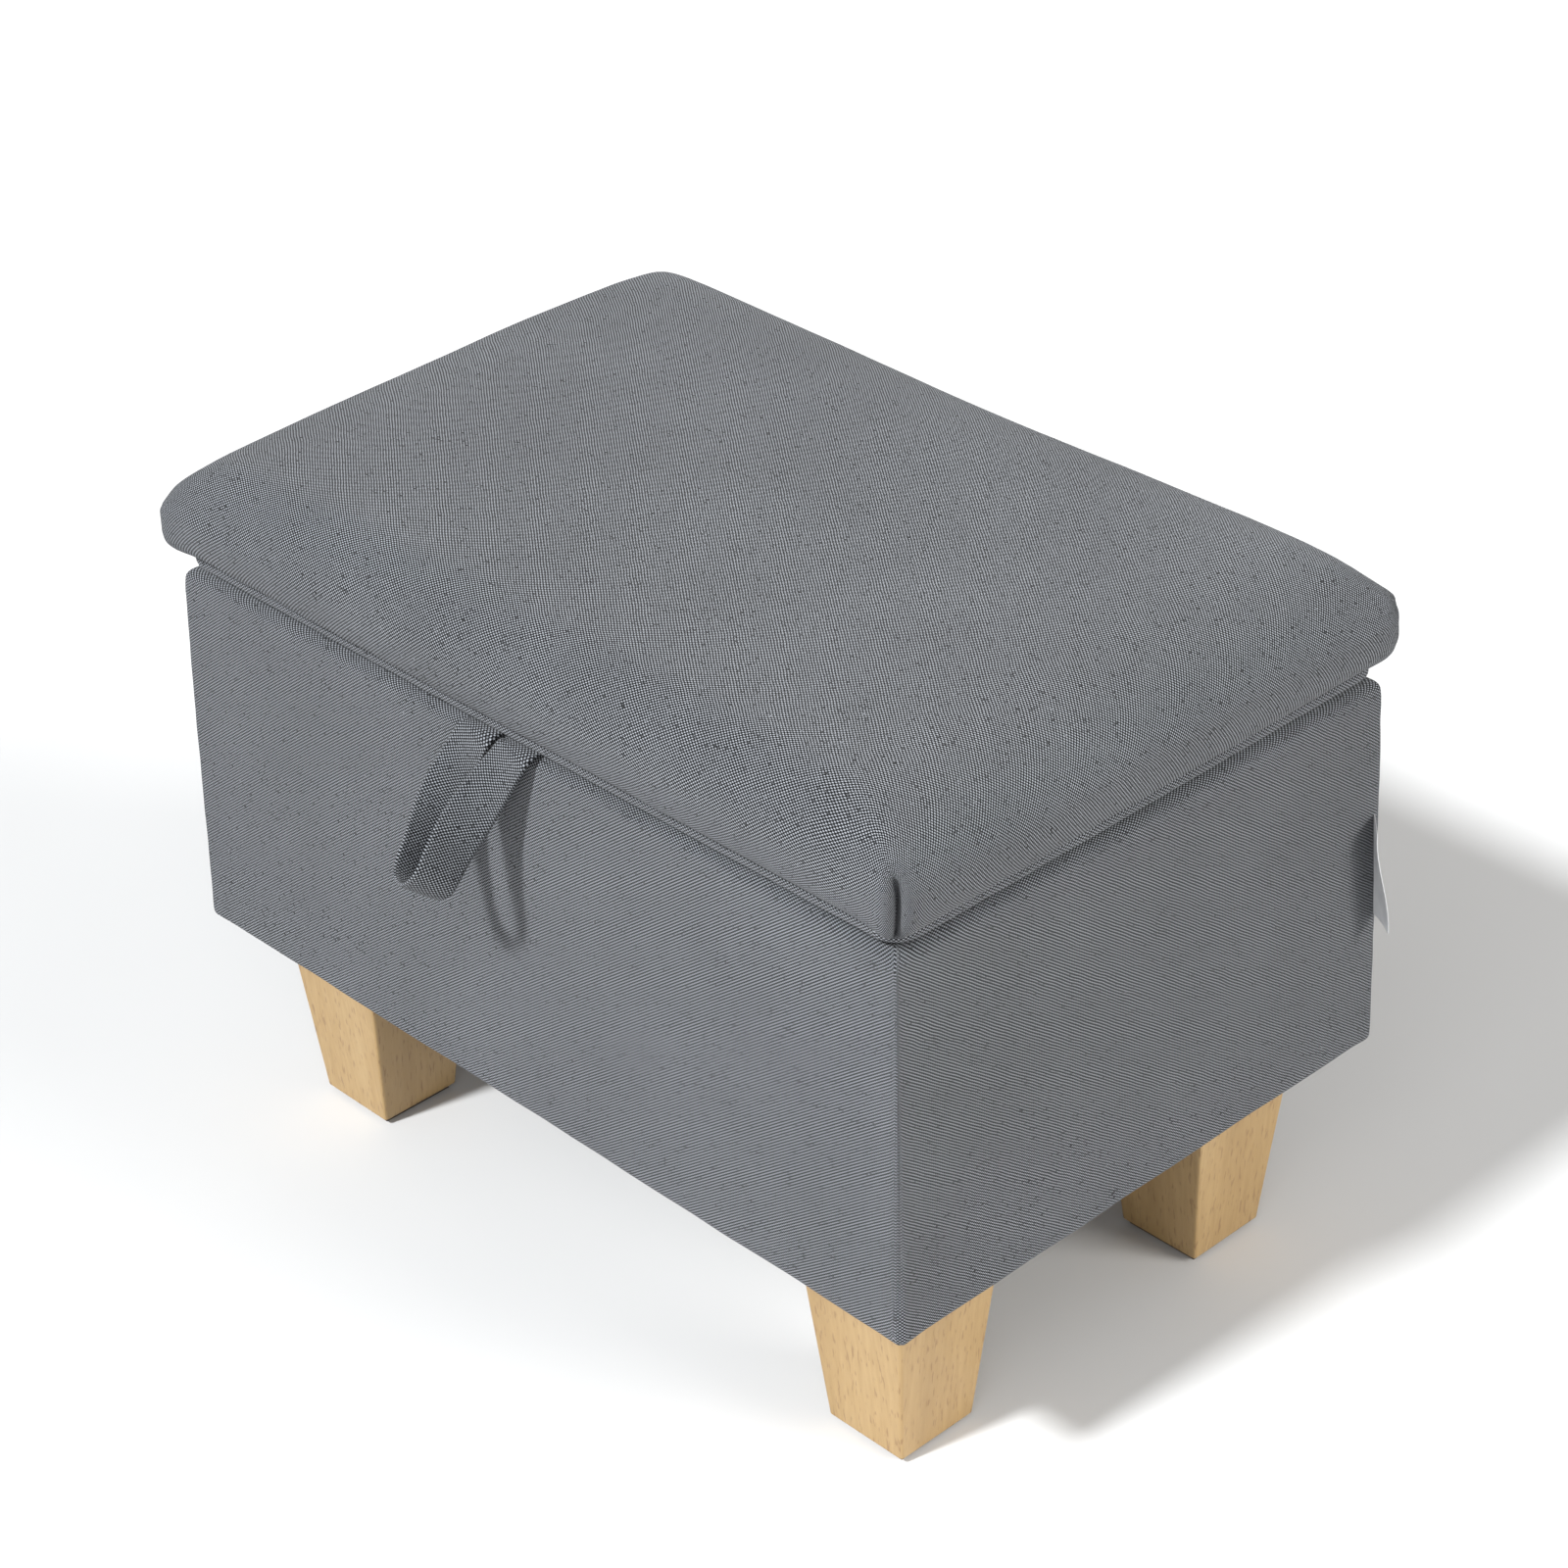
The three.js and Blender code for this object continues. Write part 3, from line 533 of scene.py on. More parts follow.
class Loop:
    """A rounded rectangle with the same number of points for every inset."""

    def __init__(self, half_x, half_y, radius, step, corner_steps):
        self.half_x = half_x
        self.half_y = half_y
        self.radius = radius
        self.corner_steps = corner_steps
        self.steps_x = max(4, round(2 * (half_x - radius) / step))
        self.steps_y = max(4, round(2 * (half_y - radius) / step))
        self.turns = []  # (corner, share of the corner's turn or of the straight run, on the corner?)
        for corner in range(4):
            for turn in range(corner_steps):
                self.turns.append((corner, turn / corner_steps, True))
            straight = self.steps_y if corner % 2 == 0 else self.steps_x
            for run in range(straight):
                self.turns.append((corner, run / straight, False))

    def angles(self):
        """Which way is out at each point, as an angle from +X."""
        angles = []
        for corner, share, turning in self.turns:
            quarters = corner - 1 + (share if turning else 1)
            angles.append(math.radians(90 * quarters))
        return angles

    def ring(self, inset, height):
        """Points of the loop moved in by inset, from the front right corner back and to the left."""
        radius = max(self.radius - inset, LEAST_RADIUS)
        reach_x = self.half_x - inset - radius
        reach_y = self.half_y - inset - radius
        centres = [(1, -1), (1, 1), (-1, 1), (-1, -1)]
        points = []
        for (corner, share, turning), angle in zip(self.turns, self.angles()):
            sign_x, sign_y = centres[corner]
            centre_x = sign_x * reach_x
            centre_y = sign_y * reach_y
            if not turning:
                next_x, next_y = centres[(corner + 1) % 4]
                centre_x = lerp(centre_x, next_x * reach_x, share)
                centre_y = lerp(centre_y, next_y * reach_y, share)
            x = centre_x + radius * math.cos(angle)
            y = centre_y + radius * math.sin(angle)
            points.append(Vector((x, y + MIDDLE_Y, height)))
        return points

    def outward(self):
        """Which way is out at each point, level."""
        return [Vector((math.cos(angle), math.sin(angle), 0)) for angle in self.angles()]

    def travel(self):
        """How far round the loop each point is, in metres, and the whole way round as the last value."""
        points = self.ring(0, 0)
        distances = [0.0]
        for here, following in zip(points, points[1:] + points[:1]):
            distances.append(distances[-1] + (following - here).length)
        return distances

    def seam_distances(self):
        """Signed distance of each point from the nearest corner seam, measured round the loop."""
        travel = self.travel()
        total = travel[-1]
        seams = []
        for number, (_, share, turning) in enumerate(self.turns):
            if turning and abs(share - 0.5) < 0.5 / self.corner_steps:
                seams.append(travel[number])
        distances = []
        for place in travel[:-1]:
            gaps = [(place - seam + total / 2) % total - total / 2 for seam in seams]
            distances.append(min(gaps, key=abs))
        return distances


def loft(name, rings, travel, material, body):
    """A piece through rings of equal count, the first one inside or on top, with its faces outwards."""
    count = len(rings[0])
    depths = [0.0]
    for upper, lower in zip(rings, rings[1:]):
        depths.append(depths[-1] + (upper[count // 3] - lower[count // 3]).length)
    points = [point for ring in rings for point in ring]

    def place(level, column):
        return travel[column], -depths[level]

    faces, cloth = skin(len(rings), count, place, closed=True, down_first=True)
    return build(name, points, faces, cloth, material, body)


# ---- sewn cover of the body

RIM_ROUND = 7 * MM
RIM_INNER_ROUND = 4 * MM
BOTTOM_ROUND = 5 * MM
CORNER_ROUND = 4 * MM
WALL_DEPTH = 25.6 * MM  # outside of the cover at the rim to the fabric turned down inside
WALL_ROWS = 26
FLAP_BOTTOM = RIM - 36 * MM  # just above the lining
UNDER_FLAP = 34 * MM
COVER_THICK = 1.2 * MM

WALL_BULGE = 0.8 * MM  # how far the wadding pushes the middle of a wall out
BULGE_RUN = 80 * MM  # distance from a seam at which a wall has its full bulge
# Slow and quicker waves of the walls: height, size and seed.
WALL_WAVES = [(0.5 * MM, 70 * MM, 2.3), (0.22 * MM, 22 * MM, 5.1)]
SEAM_RIDGE = 0.5 * MM  # cloth folded in at each seam lifts the cover beside it
SEAM_RIDGE_AT = 5 * MM
PUCKER = 0.55 * MM
PUCKER_SIZE = 8 * MM
PUCKER_SEEDS = (29.0, 11.0)  # one run of puckers on each side of a seam
SEAM_GROOVE = 1.0 * MM
SEAM_GROOVE_WIDE = 0.75 * MM
HEM_WAVE = 1.0 * MM  # up and down along the bottom edge
HEM_DIP = 1.1 * MM  # the bottom edge hangs lower beside each seam
HEM_TALL = 18 * MM
RIM_SOFT = 0.35 * MM  # the rim lies lower than its wadding, and waves by as much again
RIM_TALL = 14 * MM


def wall_inset(height):
    return LEAN * (height - BODY_BOTTOM) / (RIM - BODY_BOTTOM)


def body_profile():
    """(inset, height) from the inner flap over the rim, down the outside and under the bottom."""
    points = [(WALL_DEPTH, FLAP_BOTTOM), (WALL_DEPTH, lerp(FLAP_BOTTOM, RIM, 0.5))]
    for inward, upward in quarter(RIM_INNER_ROUND, RIM_INNER_ROUND, 4):
        points.append((WALL_DEPTH - inward, RIM - RIM_INNER_ROUND + upward))
    points.append((lerp(WALL_DEPTH - RIM_INNER_ROUND, RIM_ROUND + LEAN, 0.5), RIM))
    for inward, upward in reversed(quarter(RIM_ROUND, RIM_ROUND, 6)):
        points.append((wall_inset(RIM) + inward, RIM - RIM_ROUND + upward))
    top = RIM - RIM_ROUND
    bottom = BODY_BOTTOM + BOTTOM_ROUND
    for row in range(1, WALL_ROWS):
        height = lerp(top, bottom, row / WALL_ROWS)
        points.append((wall_inset(height), height))
    for inward, upward in quarter(BOTTOM_ROUND, BOTTOM_ROUND, 6):
        points.append((inward, bottom - upward))
    points.append((lerp(BOTTOM_ROUND, UNDER_FLAP, 0.4), BODY_BOTTOM))
    points.append((UNDER_FLAP, BODY_BOTTOM))
    return points


def cover_swell(seam, point):
    """How far the cover stands out from its plain shape, at that signed distance from a seam."""
    height = point.z
    share = clamp((height - BODY_BOTTOM) / (RIM - BODY_BOTTOM))
    distance = abs(seam)
    swell = WALL_BULGE * math.sin(math.pi * share) * smooth(0, BULGE_RUN, distance)
    swell += waves(point.x, point.y, height, WALL_WAVES)
    swell += SEAM_RIDGE * bell(distance - SEAM_RIDGE_AT, SEAM_RIDGE_AT)
    seed = PUCKER_SEEDS[seam > 0]
    pucker = ripple(seed, height, 0, PUCKER_SIZE, seed)
    swell += PUCKER * pucker * bell(distance - PUCKER_SIZE / 2, 0.75 * PUCKER_SIZE)
    swell *= smooth(0.0, 0.06, share) * smooth(1.0, 0.93, share)
    groove = smooth(0.04, 0.2, share) * smooth(1.04, 0.99, share)
    return swell - SEAM_GROOVE * bell(distance, SEAM_GROOVE_WIDE) * groove


def edge_shift(seam, point):
    """How far the soft bottom edge and the soft rim lie above their plain height."""
    low = smooth(BODY_BOTTOM + HEM_TALL, BODY_BOTTOM, point.z)
    high = smooth(RIM - RIM_TALL, RIM, point.z)
    hem = HEM_WAVE * ripple(point.x, point.y, 0, 34 * MM, 7.7)
    hem -= HEM_DIP * bell(abs(seam) - SEAM_RIDGE_AT, SEAM_RIDGE_AT)
    rim = RIM_SOFT * (1 + ripple(point.x, point.y, 1, 26 * MM, 4.4))
    return low * hem - high * rim


def make_body_cover():
    """One sheet round all four walls, sewn at the corners."""
    loop = Loop(BODY_X, BODY_Y, CORNER_ROUND, 6 * MM, 10)
    outward = loop.outward()
    seams = loop.seam_distances()
    rings = []
    for inset, height in body_profile():
        ring = loop.ring(inset, height)
        if inset < WALL_DEPTH / 2:
            for point, way, seam in zip(ring, outward, seams):
                swell, shift = cover_swell(seam, point), edge_shift(seam, point)
                point += way * swell
                point.z += shift
        rings.append(ring)
    cover = loft("body_cover", rings, loop.travel(), FABRIC, "base")
    thicken(cover, COVER_THICK)
    subdivide(cover)
    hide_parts("cover_front", "cover_back", "cover_left", "cover_right")


# ---- covered edge of the lid board

BAND_INSET = 10.4 * MM
BAND_TOP = BOARD_TOP + 1.5 * MM
BAND_ROUND = 2.2 * MM
BAND_FLAP = 41 * MM  # how far in from the lid's edge the stapled flap ends
BAND_THICK = 1.1 * MM
BAND_CORNER = 14 * MM
# The face of the band bulges low down: inset, and height above the underside.
BAND_FACE = [
    (3.0 * MM, 8.4 * MM),
    (1.7 * MM, 6.9 * MM),
    (0.5 * MM, 5.6 * MM),
    (0.0 * MM, 3.8 * MM),
]
BAND_WAVE = 0.35 * MM  # slow waves of the band's face
BAND_FOLD = 0.55 * MM  # small folds near the corners
BAND_FOLD_RUN = 26 * MM


def band_profile():
    """(inset, height) from the board's top down the band's face to the flap under the board."""
    profile = [(11 * MM, BAND_TOP), (4 * MM, BAND_TOP), (3.2 * MM, BAND_TOP - 1 * MM)]
    profile += [(inset, LID_BOTTOM + above) for inset, above in BAND_FACE]
    for inward, upward in quarter(BAND_ROUND, BAND_ROUND, 4):
        profile.append((inward, LID_BOTTOM + BAND_ROUND - upward))
    profile.append(((BAND_ROUND + BAND_FLAP - BAND_INSET) / 2, LID_BOTTOM))
    profile.append((BAND_FLAP - BAND_INSET, LID_BOTTOM))
    return profile


def make_lid_edge():
    """The strip of cloth round the board under the cushion, turned under and stapled."""
    loop = Loop(LID_X - BAND_INSET, LID_Y - BAND_INSET, BAND_CORNER, 7 * MM, 8)
    outward = loop.outward()
    seams = loop.seam_distances()
    rings = []
    for inset, height in band_profile():
        ring = loop.ring(inset, height)
        if inset < BAND_ROUND + 0.5 * MM:
            for point, way, seam in zip(ring, outward, seams):
                folds = bell(seam, BAND_FOLD_RUN) * ripple(*point, 5 * MM, 3.1)
                point += way * (BAND_WAVE * ripple(*point, 18 * MM, 8.2) + BAND_FOLD * folds)
        rings.append(ring)
    edge = loft("lid_edge_cloth", rings, loop.travel(), FABRIC, "lid")
    thicken(edge, BAND_THICK)
    subdivide(edge)


# ---- cushion

WIDEST = LID_BOTTOM + 30 * MM  # height where the cushion is widest
END_REACH = 58 * MM  # how far in the rounding of the short ends reaches
FRONT_REACH = 32 * MM
BACK_REACH = 46 * MM
CORNER_POWER = 9.0  # how square the corners are in plan
CORNER_SAG = 4.5 * MM  # the corners of the top slope off, because no padding fills them
CREASE_DEEP = 7.5 * MM
CREASE_WIDE = 2.2 * MM
CREASE_EDGE = 1.6 * MM  # how far the cloth of the long side stands out beside the crease
EDGE_AT = 3 * MM
EDGE_WIDE = 3.5 * MM
CREASE_TUCK = 4.6 * MM  # how far the cloth of the short end lies back under it
TUCK_AT = 2 * MM
TUCK_WIDE = 4.5 * MM
CREASE_TOP = WIDEST + 15 * MM
CREASE_FADE = 7 * MM
EAR_RINGS = 7  # rows of the top's grid that an ear reaches
EAR_REACH = 16  # vertices on each side of a corner that move
EAR_WAY = (0.6, 0.8)  # how far ears and creases move to the side, and to the front or back
# Hand-folded ears, no two alike: height above the widest line, half height, how far out,
# and how deep the crease is, as a share. Front right, back right, back left, front left.
EARS = [
    (9 * MM, 5 * MM, 1.6 * MM, 1.0),
    (10 * MM, 4 * MM, 5.0 * MM, 0.5),
    (6 * MM, 6 * MM, 2.4 * MM, 0.9),
    (-2 * MM, 13 * MM, 2.2 * MM, 0.25),
]
BULK_OUT = 5 * MM  # the folded cloth under each corner stands out by this much at the lip
EAR_WIDE = 9 * MM
LIP_HEIGHT = LID_BOTTOM + 6.8 * MM
LIP_INSET = 11 * MM
LIP_GROOVE = 2.6 * MM  # how far the cloth turns in above the covered edge
START_SHRINK = 0.6 * MM  # the cushion starts smaller than it ends, because it swells
START_DROP = 1.6 * MM
SWELL_FRAMES = 20
SWELL_PRESSURE = 0.25
SWELL_CAP = 4 * MM  # no point moves further than this in the simulation
CROWN = 1.6 * MM  # how much higher the middle of the top is than its edges
GRID_STEP = 7 * MM
# Grid lines on the rounding, as shares of it, closer together where it is steep.
ROUNDING_SHARES = [0.14, 0.28, 0.42, 0.55, 0.67, 0.78, 0.87, 0.94, 0.98, 1.0]
# Slow waves of the padding: height, size and seed.
PAD_WAVES = [(0.7 * MM, 110 * MM, 1.9), (0.25 * MM, 32 * MM, 6.2)]
EDGE_PULL = 0.5 * MM  # short waves where the cloth is pulled round the lip
# Where the padding has settled or is packed up: x, y, half widths both ways, and rise.
SLUMPS = [
    (0.02, LID_Y, 150 * MM, 50 * MM, -3.0 * MM),
    (-LID_X, 0.07, 50 * MM, 75 * MM, 2.4 * MM),
    (-LID_X, -LID_Y, 80 * MM, 80 * MM, -3.5 * MM),
    (LID_X, LID_Y, 70 * MM, 70 * MM, -2.5 * MM),
]


def lines(half, reach_low, reach_high):
    """Grid lines across one direction as (flat distance, share of the rounding), both signed."""
    low, high = reach_low - half, half - reach_high
    count = round((high - low) / GRID_STEP)
    made = [(low, -share) for share in reversed(ROUNDING_SHARES)]
    made += [(lerp(low, high, number / count), 0.0) for number in range(count + 1)]
    made += [(high, share) for share in ROUNDING_SHARES]
    return made


class Cushion:
    """A grid over the top whose border goes on down the sides, round the lip and across the board."""

    def __init__(self):
        self.half_x = LID_X - START_SHRINK
        self.half_y = LID_Y - START_SHRINK
        self.top = LID_TOP - CROWN - START_DROP
        self.lines_x = lines(self.half_x, END_REACH, END_REACH)
        self.lines_y = lines(self.half_y, FRONT_REACH, BACK_REACH)
        self.count_x = len(self.lines_x)
        self.count_y = len(self.lines_y)
        self.place_x = [self.top_place(line, END_REACH, END_REACH) for line in self.lines_x]
        self.place_y = [self.top_place(line, FRONT_REACH, BACK_REACH) for line in self.lines_y]
        self.make_top()
        self.make_sides()
        self.make_cap()

    def top_point(self, line_x, line_y):
        flat_x, share_x = line_x
        flat_y, share_y = line_y
        sine_x = math.sin(abs(share_x) * math.pi / 2)
        sine_y = math.sin(abs(share_y) * math.pi / 2)
        level = max(sine_x, sine_y)
        shrink = 1.0
        if level > 0:
            shrink = level / (sine_x ** CORNER_POWER + sine_y ** CORNER_POWER) ** (1 / CORNER_POWER)
        reach_y = BACK_REACH if share_y > 0 else FRONT_REACH
        x = flat_x + math.copysign(sine_x * shrink * END_REACH, share_x)
        y = flat_y + math.copysign(sine_y * shrink * reach_y, share_y)
        drop = (self.top - WIDEST) * (1 - math.sqrt(1 - level ** 2))
        across = clamp(abs(x) / self.half_x)
        deep = clamp(abs(y) / self.half_y)
        crown = CROWN * (1 - across ** 2) * (1 - deep ** 2)
        halfway_down = 4 * level ** 2 * (1 - level ** 2)
        sag = CORNER_SAG * sine_x * sine_y * halfway_down
        return Vector((x, y + MIDDLE_Y, self.top - drop + crown - sag))

    def top_place(self, line, reach_low, reach_high):
        """Distance along the cloth from the middle of the top, over the rounding."""
        flat, share = line
        reach = reach_high if share > 0 else reach_low
        rise = self.top - WIDEST
        arc = math.pi / 2 * math.sqrt((reach ** 2 + rise ** 2) / 2)
        return flat + arc * share

    def place(self, row, column):
        """Where a line crossing of the grid is in the cloth."""
        return self.place_x[column], self.place_y[row]

    def make_top(self):
        self.points = [self.top_point(x, y) for y in self.lines_y for x in self.lines_x]
        self.faces, self.cloth = skin(self.count_y, self.count_x, self.place)

    def border(self, level=0):
        """(column, row) round the top, level rows in from its border, from the front right corner on."""
        right, back = self.count_x - 1 - level, self.count_y - 1 - level
        loop = [(right, row) for row in range(level, back)]
        loop += [(column, back) for column in range(right, level, -1)]
        loop += [(level, row) for row in range(back, level, -1)]
        loop += [(column, level) for column in range(level, right)]
        return loop

    def side_profile(self):
        """(inset, height) from the widest line round the lip to the top of the board."""
        reach, rise = LIP_INSET, WIDEST - LIP_HEIGHT
        profile = [(inward, WIDEST - upward) for inward, upward in quarter(reach, rise, 9, 2.3)[1:]]
        profile.append((LIP_INSET + 1.2 * MM, LIP_HEIGHT + 0.2 * MM))
        profile.append((LIP_INSET + LIP_GROOVE, LIP_HEIGHT + 1.8 * MM))
        profile.append((LIP_INSET + LIP_GROOVE, BAND_TOP + 0.3 * MM))
        return profile

    def make_sides(self):
        self.loop = self.border()
        self.side_rings = [[row * self.count_x + column for column, row in self.loop]]
        base = [self.points[number].copy() for number in self.side_rings[0]]
        depth = 0.0
        last = (0.0, WIDEST)
        for inset, height in self.side_profile():
            step = math.hypot(inset - last[0], height - last[1])
            ring = []
            for point in base:
                x = point.x * (self.half_x - inset) / self.half_x
                y = (point.y - MIDDLE_Y) * (self.half_y - inset) / self.half_y + MIDDLE_Y
                ring.append(len(self.points))
                self.points.append(Vector((x, y, height)))
            self.join(self.side_rings[-1], ring, depth, depth + step)
            self.side_rings.append(ring)
            depth += step
            last = (inset, height)

    def join(self, upper, lower, depth, next_depth):
        count = len(upper)
        for number in range(count):
            following = (number + 1) % count
            self.faces.append((upper[number], lower[number], lower[following], upper[following]))
            here, there = self.loop[number], self.loop[following]
            places = []
            corners = [(here, depth), (here, next_depth), (there, next_depth), (there, depth)]
            for (column, row), drop in corners:
                u, v = self.place(row, column)
                if here[0] == there[0]:
                    u += math.copysign(drop, u)
                else:
                    v += math.copysign(drop, v)
                places.append((u, v))
            self.cloth.append(places)

    def make_cap(self):
        """The flat underside on the board, with the same grid as the top."""
        ring = self.side_rings[-1]
        height = self.points[ring[0]].z
        numbers = {place: ring[number] for number, place in enumerate(self.loop)}
        shrink_x = (self.half_x - LIP_INSET) / self.half_x
        shrink_y = (self.half_y - LIP_INSET) / self.half_y
        for row in range(1, self.count_y - 1):
            for column in range(1, self.count_x - 1):
                above = self.points[row * self.count_x + column]
                numbers[(column, row)] = len(self.points)
                y = (above.y - MIDDLE_Y) * shrink_y + MIDDLE_Y
                self.points.append(Vector((above.x * shrink_x, y, height)))
        for row in range(self.count_y - 1):
            for column in range(self.count_x - 1):
                corners = [(column, row), (column, row + 1), (column + 1, row + 1), (column + 1, row)]
                self.faces.append(tuple(numbers[corner] for corner in corners))
                self.cloth.append([self.place(r, c) for c, r in corners])


def swell_cloth(piece, held):
    """Cloth simulation with air pressure inside. held are the vertices that stay on the board."""
    group = piece.vertex_groups.new(name="held")
    group.add(held, 1.0, "REPLACE")
    before = [vertex.co.copy() for vertex in piece.data.vertices]
    modifier = piece.modifiers.new("cloth", "CLOTH")
    cloth = modifier.settings
    cloth.quality = 6
    cloth.mass = 0.3
    cloth.tension_stiffness = 22
    cloth.compression_stiffness = 22
    cloth.shear_stiffness = 10
    cloth.bending_stiffness = 2.0
    cloth.tension_damping = 12
    cloth.compression_damping = 12
    cloth.shear_damping = 12
    cloth.air_damping = 3
    cloth.use_pressure = True
    cloth.uniform_pressure_force = SWELL_PRESSURE
    cloth.effector_weights.gravity = 0
    cloth.vertex_group_mass = "held"
    modifier.collision_settings.use_collision = False
    modifier.point_cache.frame_start = 1
    modifier.point_cache.frame_end = SWELL_FRAMES
    scene = bpy.context.scene
    for number in range(1, SWELL_FRAMES + 1):
        scene.frame_set(number)
    graph = bpy.context.evaluated_depsgraph_get()
    after = [vertex.co.copy() for vertex in piece.evaluated_get(graph).data.vertices]
    piece.modifiers.clear()
    piece.vertex_groups.clear()
    scene.frame_set(1)
    for vertex, start, end in zip(piece.data.vertices, before, after):
        move = end - start
        if move.length > SWELL_CAP:
            move *= SWELL_CAP / move.length
        vertex.co = start + move


def crease_step(distance):
    """How far the cloth moves out at that distance across a corner's fold.

    The long side's rounded edge comes first (distance below 0), then the slit and the tucked cloth.
    """
    slit = -CREASE_DEEP * bell(distance, CREASE_WIDE)
    if distance < 0:
        return slit + CREASE_EDGE * bell(distance + EDGE_AT, EDGE_WIDE)
    return slit - CREASE_TUCK * bell(distance - TUCK_AT, TUCK_WIDE)


def fold_corners(cushion, piece):
    """A pointed ear at each corner, with the folded crease that runs down from it to the lip."""
    vertices = piece.data.vertices
    rings = []
    for level in range(EAR_RINGS, 0, -1):
        ring = [row * cushion.count_x + column for column, row in cushion.border(level)]
        rings.append((ring, cushion.count_x - 1 - 2 * level, cushion.count_y - 1 - 2 * level))
    for ring in cushion.side_rings[:-2]:
        rings.append((ring, cushion.count_x - 1, cushion.count_y - 1))
    moves = {}
    for ring, wide, deep in rings:
        # From each corner, the loop goes along a short end (1) or a long side (-1).
        corners = [(0, 1), (deep, -1), (deep + wide, 1), (2 * deep + wide, -1)]
        for (corner, end_way), (ear_height, ear_tall, ear_out, folded) in zip(corners, EARS):
            tip = vertices[ring[corner]].co.copy()
            side, front = EAR_WAY
            outward = Vector((math.copysign(side, tip.x), math.copysign(front, tip.y - MIDDLE_Y), 0))
            creased = smooth(CREASE_TOP, CREASE_TOP - CREASE_FADE, tip.z)
            creased *= folded * smooth(LIP_HEIGHT, LIP_HEIGHT + 5 * MM, tip.z)
            ear = ear_out * bell(tip.z - WIDEST - ear_height, ear_tall)
            ear += BULK_OUT * smooth(WIDEST - 2 * MM, LIP_HEIGHT + 3 * MM, tip.z)
            for way in (1, -1):
                distance = 0.0
                previous = tip
                for step in range(1 if way == -1 else 0, EAR_REACH):
                    vertex = ring[(corner + way * step) % len(ring)]
                    here = vertices[vertex].co
                    distance += (here - previous).length
                    previous = here
                    signed = distance if way == end_way else -distance
                    depth = crease_step(signed) * creased + ear * bell(distance, EAR_WIDE)
                    moves[vertex] = moves.get(vertex, Vector()) + outward * depth
    for number, move in moves.items():
        vertices[number].co += move


def soften_cushion(piece):
    """Waves and slumps of the padding, and short pulls in the cloth above the lip."""
    for vertex in piece.data.vertices:
        place = vertex.co
        if place.z < LIP_HEIGHT + 2 * MM:
            continue
        wave = waves(*place, PAD_WAVES)
        low = smooth(WIDEST + 4 * MM, LIP_HEIGHT, place.z)
        wave += EDGE_PULL * low * ripple(place.x, place.y, 0, 14 * MM, 9.4)
        high = smooth(WIDEST, WIDEST + 10 * MM, place.z)
        for x, y, wide, deep, rise in SLUMPS:
            hump = bell(place.x - x, wide) * bell(place.y - MIDDLE_Y - y, deep)
            wave += rise * high * hump
        vertex.co = place + vertex.normal * wave


def make_cushion():
    """The padded top: swelled by simulation, waved by its padding and folded at its corners."""
    shape = Cushion()
    cushion = build("lid_cushion", shape.points, shape.faces, shape.cloth, FABRIC)
    held = shape.side_rings[-1] + shape.side_rings[-2] + shape.side_rings[-3]
    held += list(range(max(shape.side_rings[-1]) + 1, len(shape.points)))
    swell_cloth(cushion, held)
    cushion.data.update()
    soften_cushion(cushion)
    cushion.data.update()
    fold_corners(shape, cushion)
    cushion.data.update()
    subdivide(cushion)
    apply_modifiers(cushion)
    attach(cushion, "lid")
    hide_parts("lid_cover", "lid_foam")


# ---- pull loop

STRAP_WIDE = 24 * MM
STRAP_THICK = 2.3 * MM
TAPE_COLUMNS = 18
TAPE_FOLD = 1.6 * MM  # how far in from each edge the tape is rounded
STITCH_IN = 3.1 * MM  # from the edge to the sewn groove
STITCH_WIDE = 0.9 * MM
STITCH_DEEP = 0.32 * MM
TAPE_WAVE = 0.4 * MM
EASE_PASSES = 3  # each pass rounds the places where straight and bent tape meet
TAIL_THICK = 1.7 * MM  # the sewn ends are pressed flat
TAIL_LENGTH = 34 * MM
TAIL_GAP = 3.6 * MM  # between the loop's root and its sewn ends
TAIL_MIDDLE = (tail_low + tail_high) / 2
STRAP_ROOT = Vector((TAIL_MIDDLE.x, tail_low.y - TAIL_GAP, TAIL_MIDDLE.z))
STRAP_SIDE = (tail_high.x - tail_low.x - STRAP_WIDE) / 2  # middle of each sewn end from the loop's middle
STRAP_RUN = 69 * MM  # from the lid to where the tape turns back
STRAP_TURN = 12.4 * MM  # radius of the turn at the bottom
STRAP_TWIST = math.radians(69)  # how far each leg has turned about the loop's axis by then
STRAP_DRIFT = -6 * MM  # how far to the side the loop has gone by its turn
STRAP_BOW_SIDE = -6.2 * MM  # how far its axis also bows to the side, halfway down
STRAP_BOW_OUT = -3.8 * MM  # and towards the box
STRAP_ALONG = Vector((0, -0.598, -0.801)).normalized()  # the loop stands off the wall
STRAP_ACROSS = X_AXIS
STRAP_OUT = STRAP_ALONG.cross(STRAP_ACROSS)


def around_loop(angle):
    """A direction square to the loop's axis, turned from across the loop towards its outer face."""
    return STRAP_ACROSS * math.cos(angle) + STRAP_OUT * math.sin(angle)


def strap_leg(share, way):
    """The tape's middle and its width direction on the right leg (way 1) or the left leg (way -1)."""
    ease = smooth(0, 1, share)
    bow = math.sin(math.pi * share)
    middle = STRAP_ROOT + STRAP_ALONG * (share * STRAP_RUN)
    middle += STRAP_ACROSS * (share * STRAP_DRIFT + bow * STRAP_BOW_SIDE)
    middle += STRAP_OUT * (bow * STRAP_BOW_OUT)
    side = lerp(STRAP_SIDE, STRAP_TURN, share)
    middle += around_loop(ease * (math.pi / 2 - STRAP_TWIST)) * (way * side)
    return middle, around_loop(-ease * STRAP_TWIST), STRAP_THICK


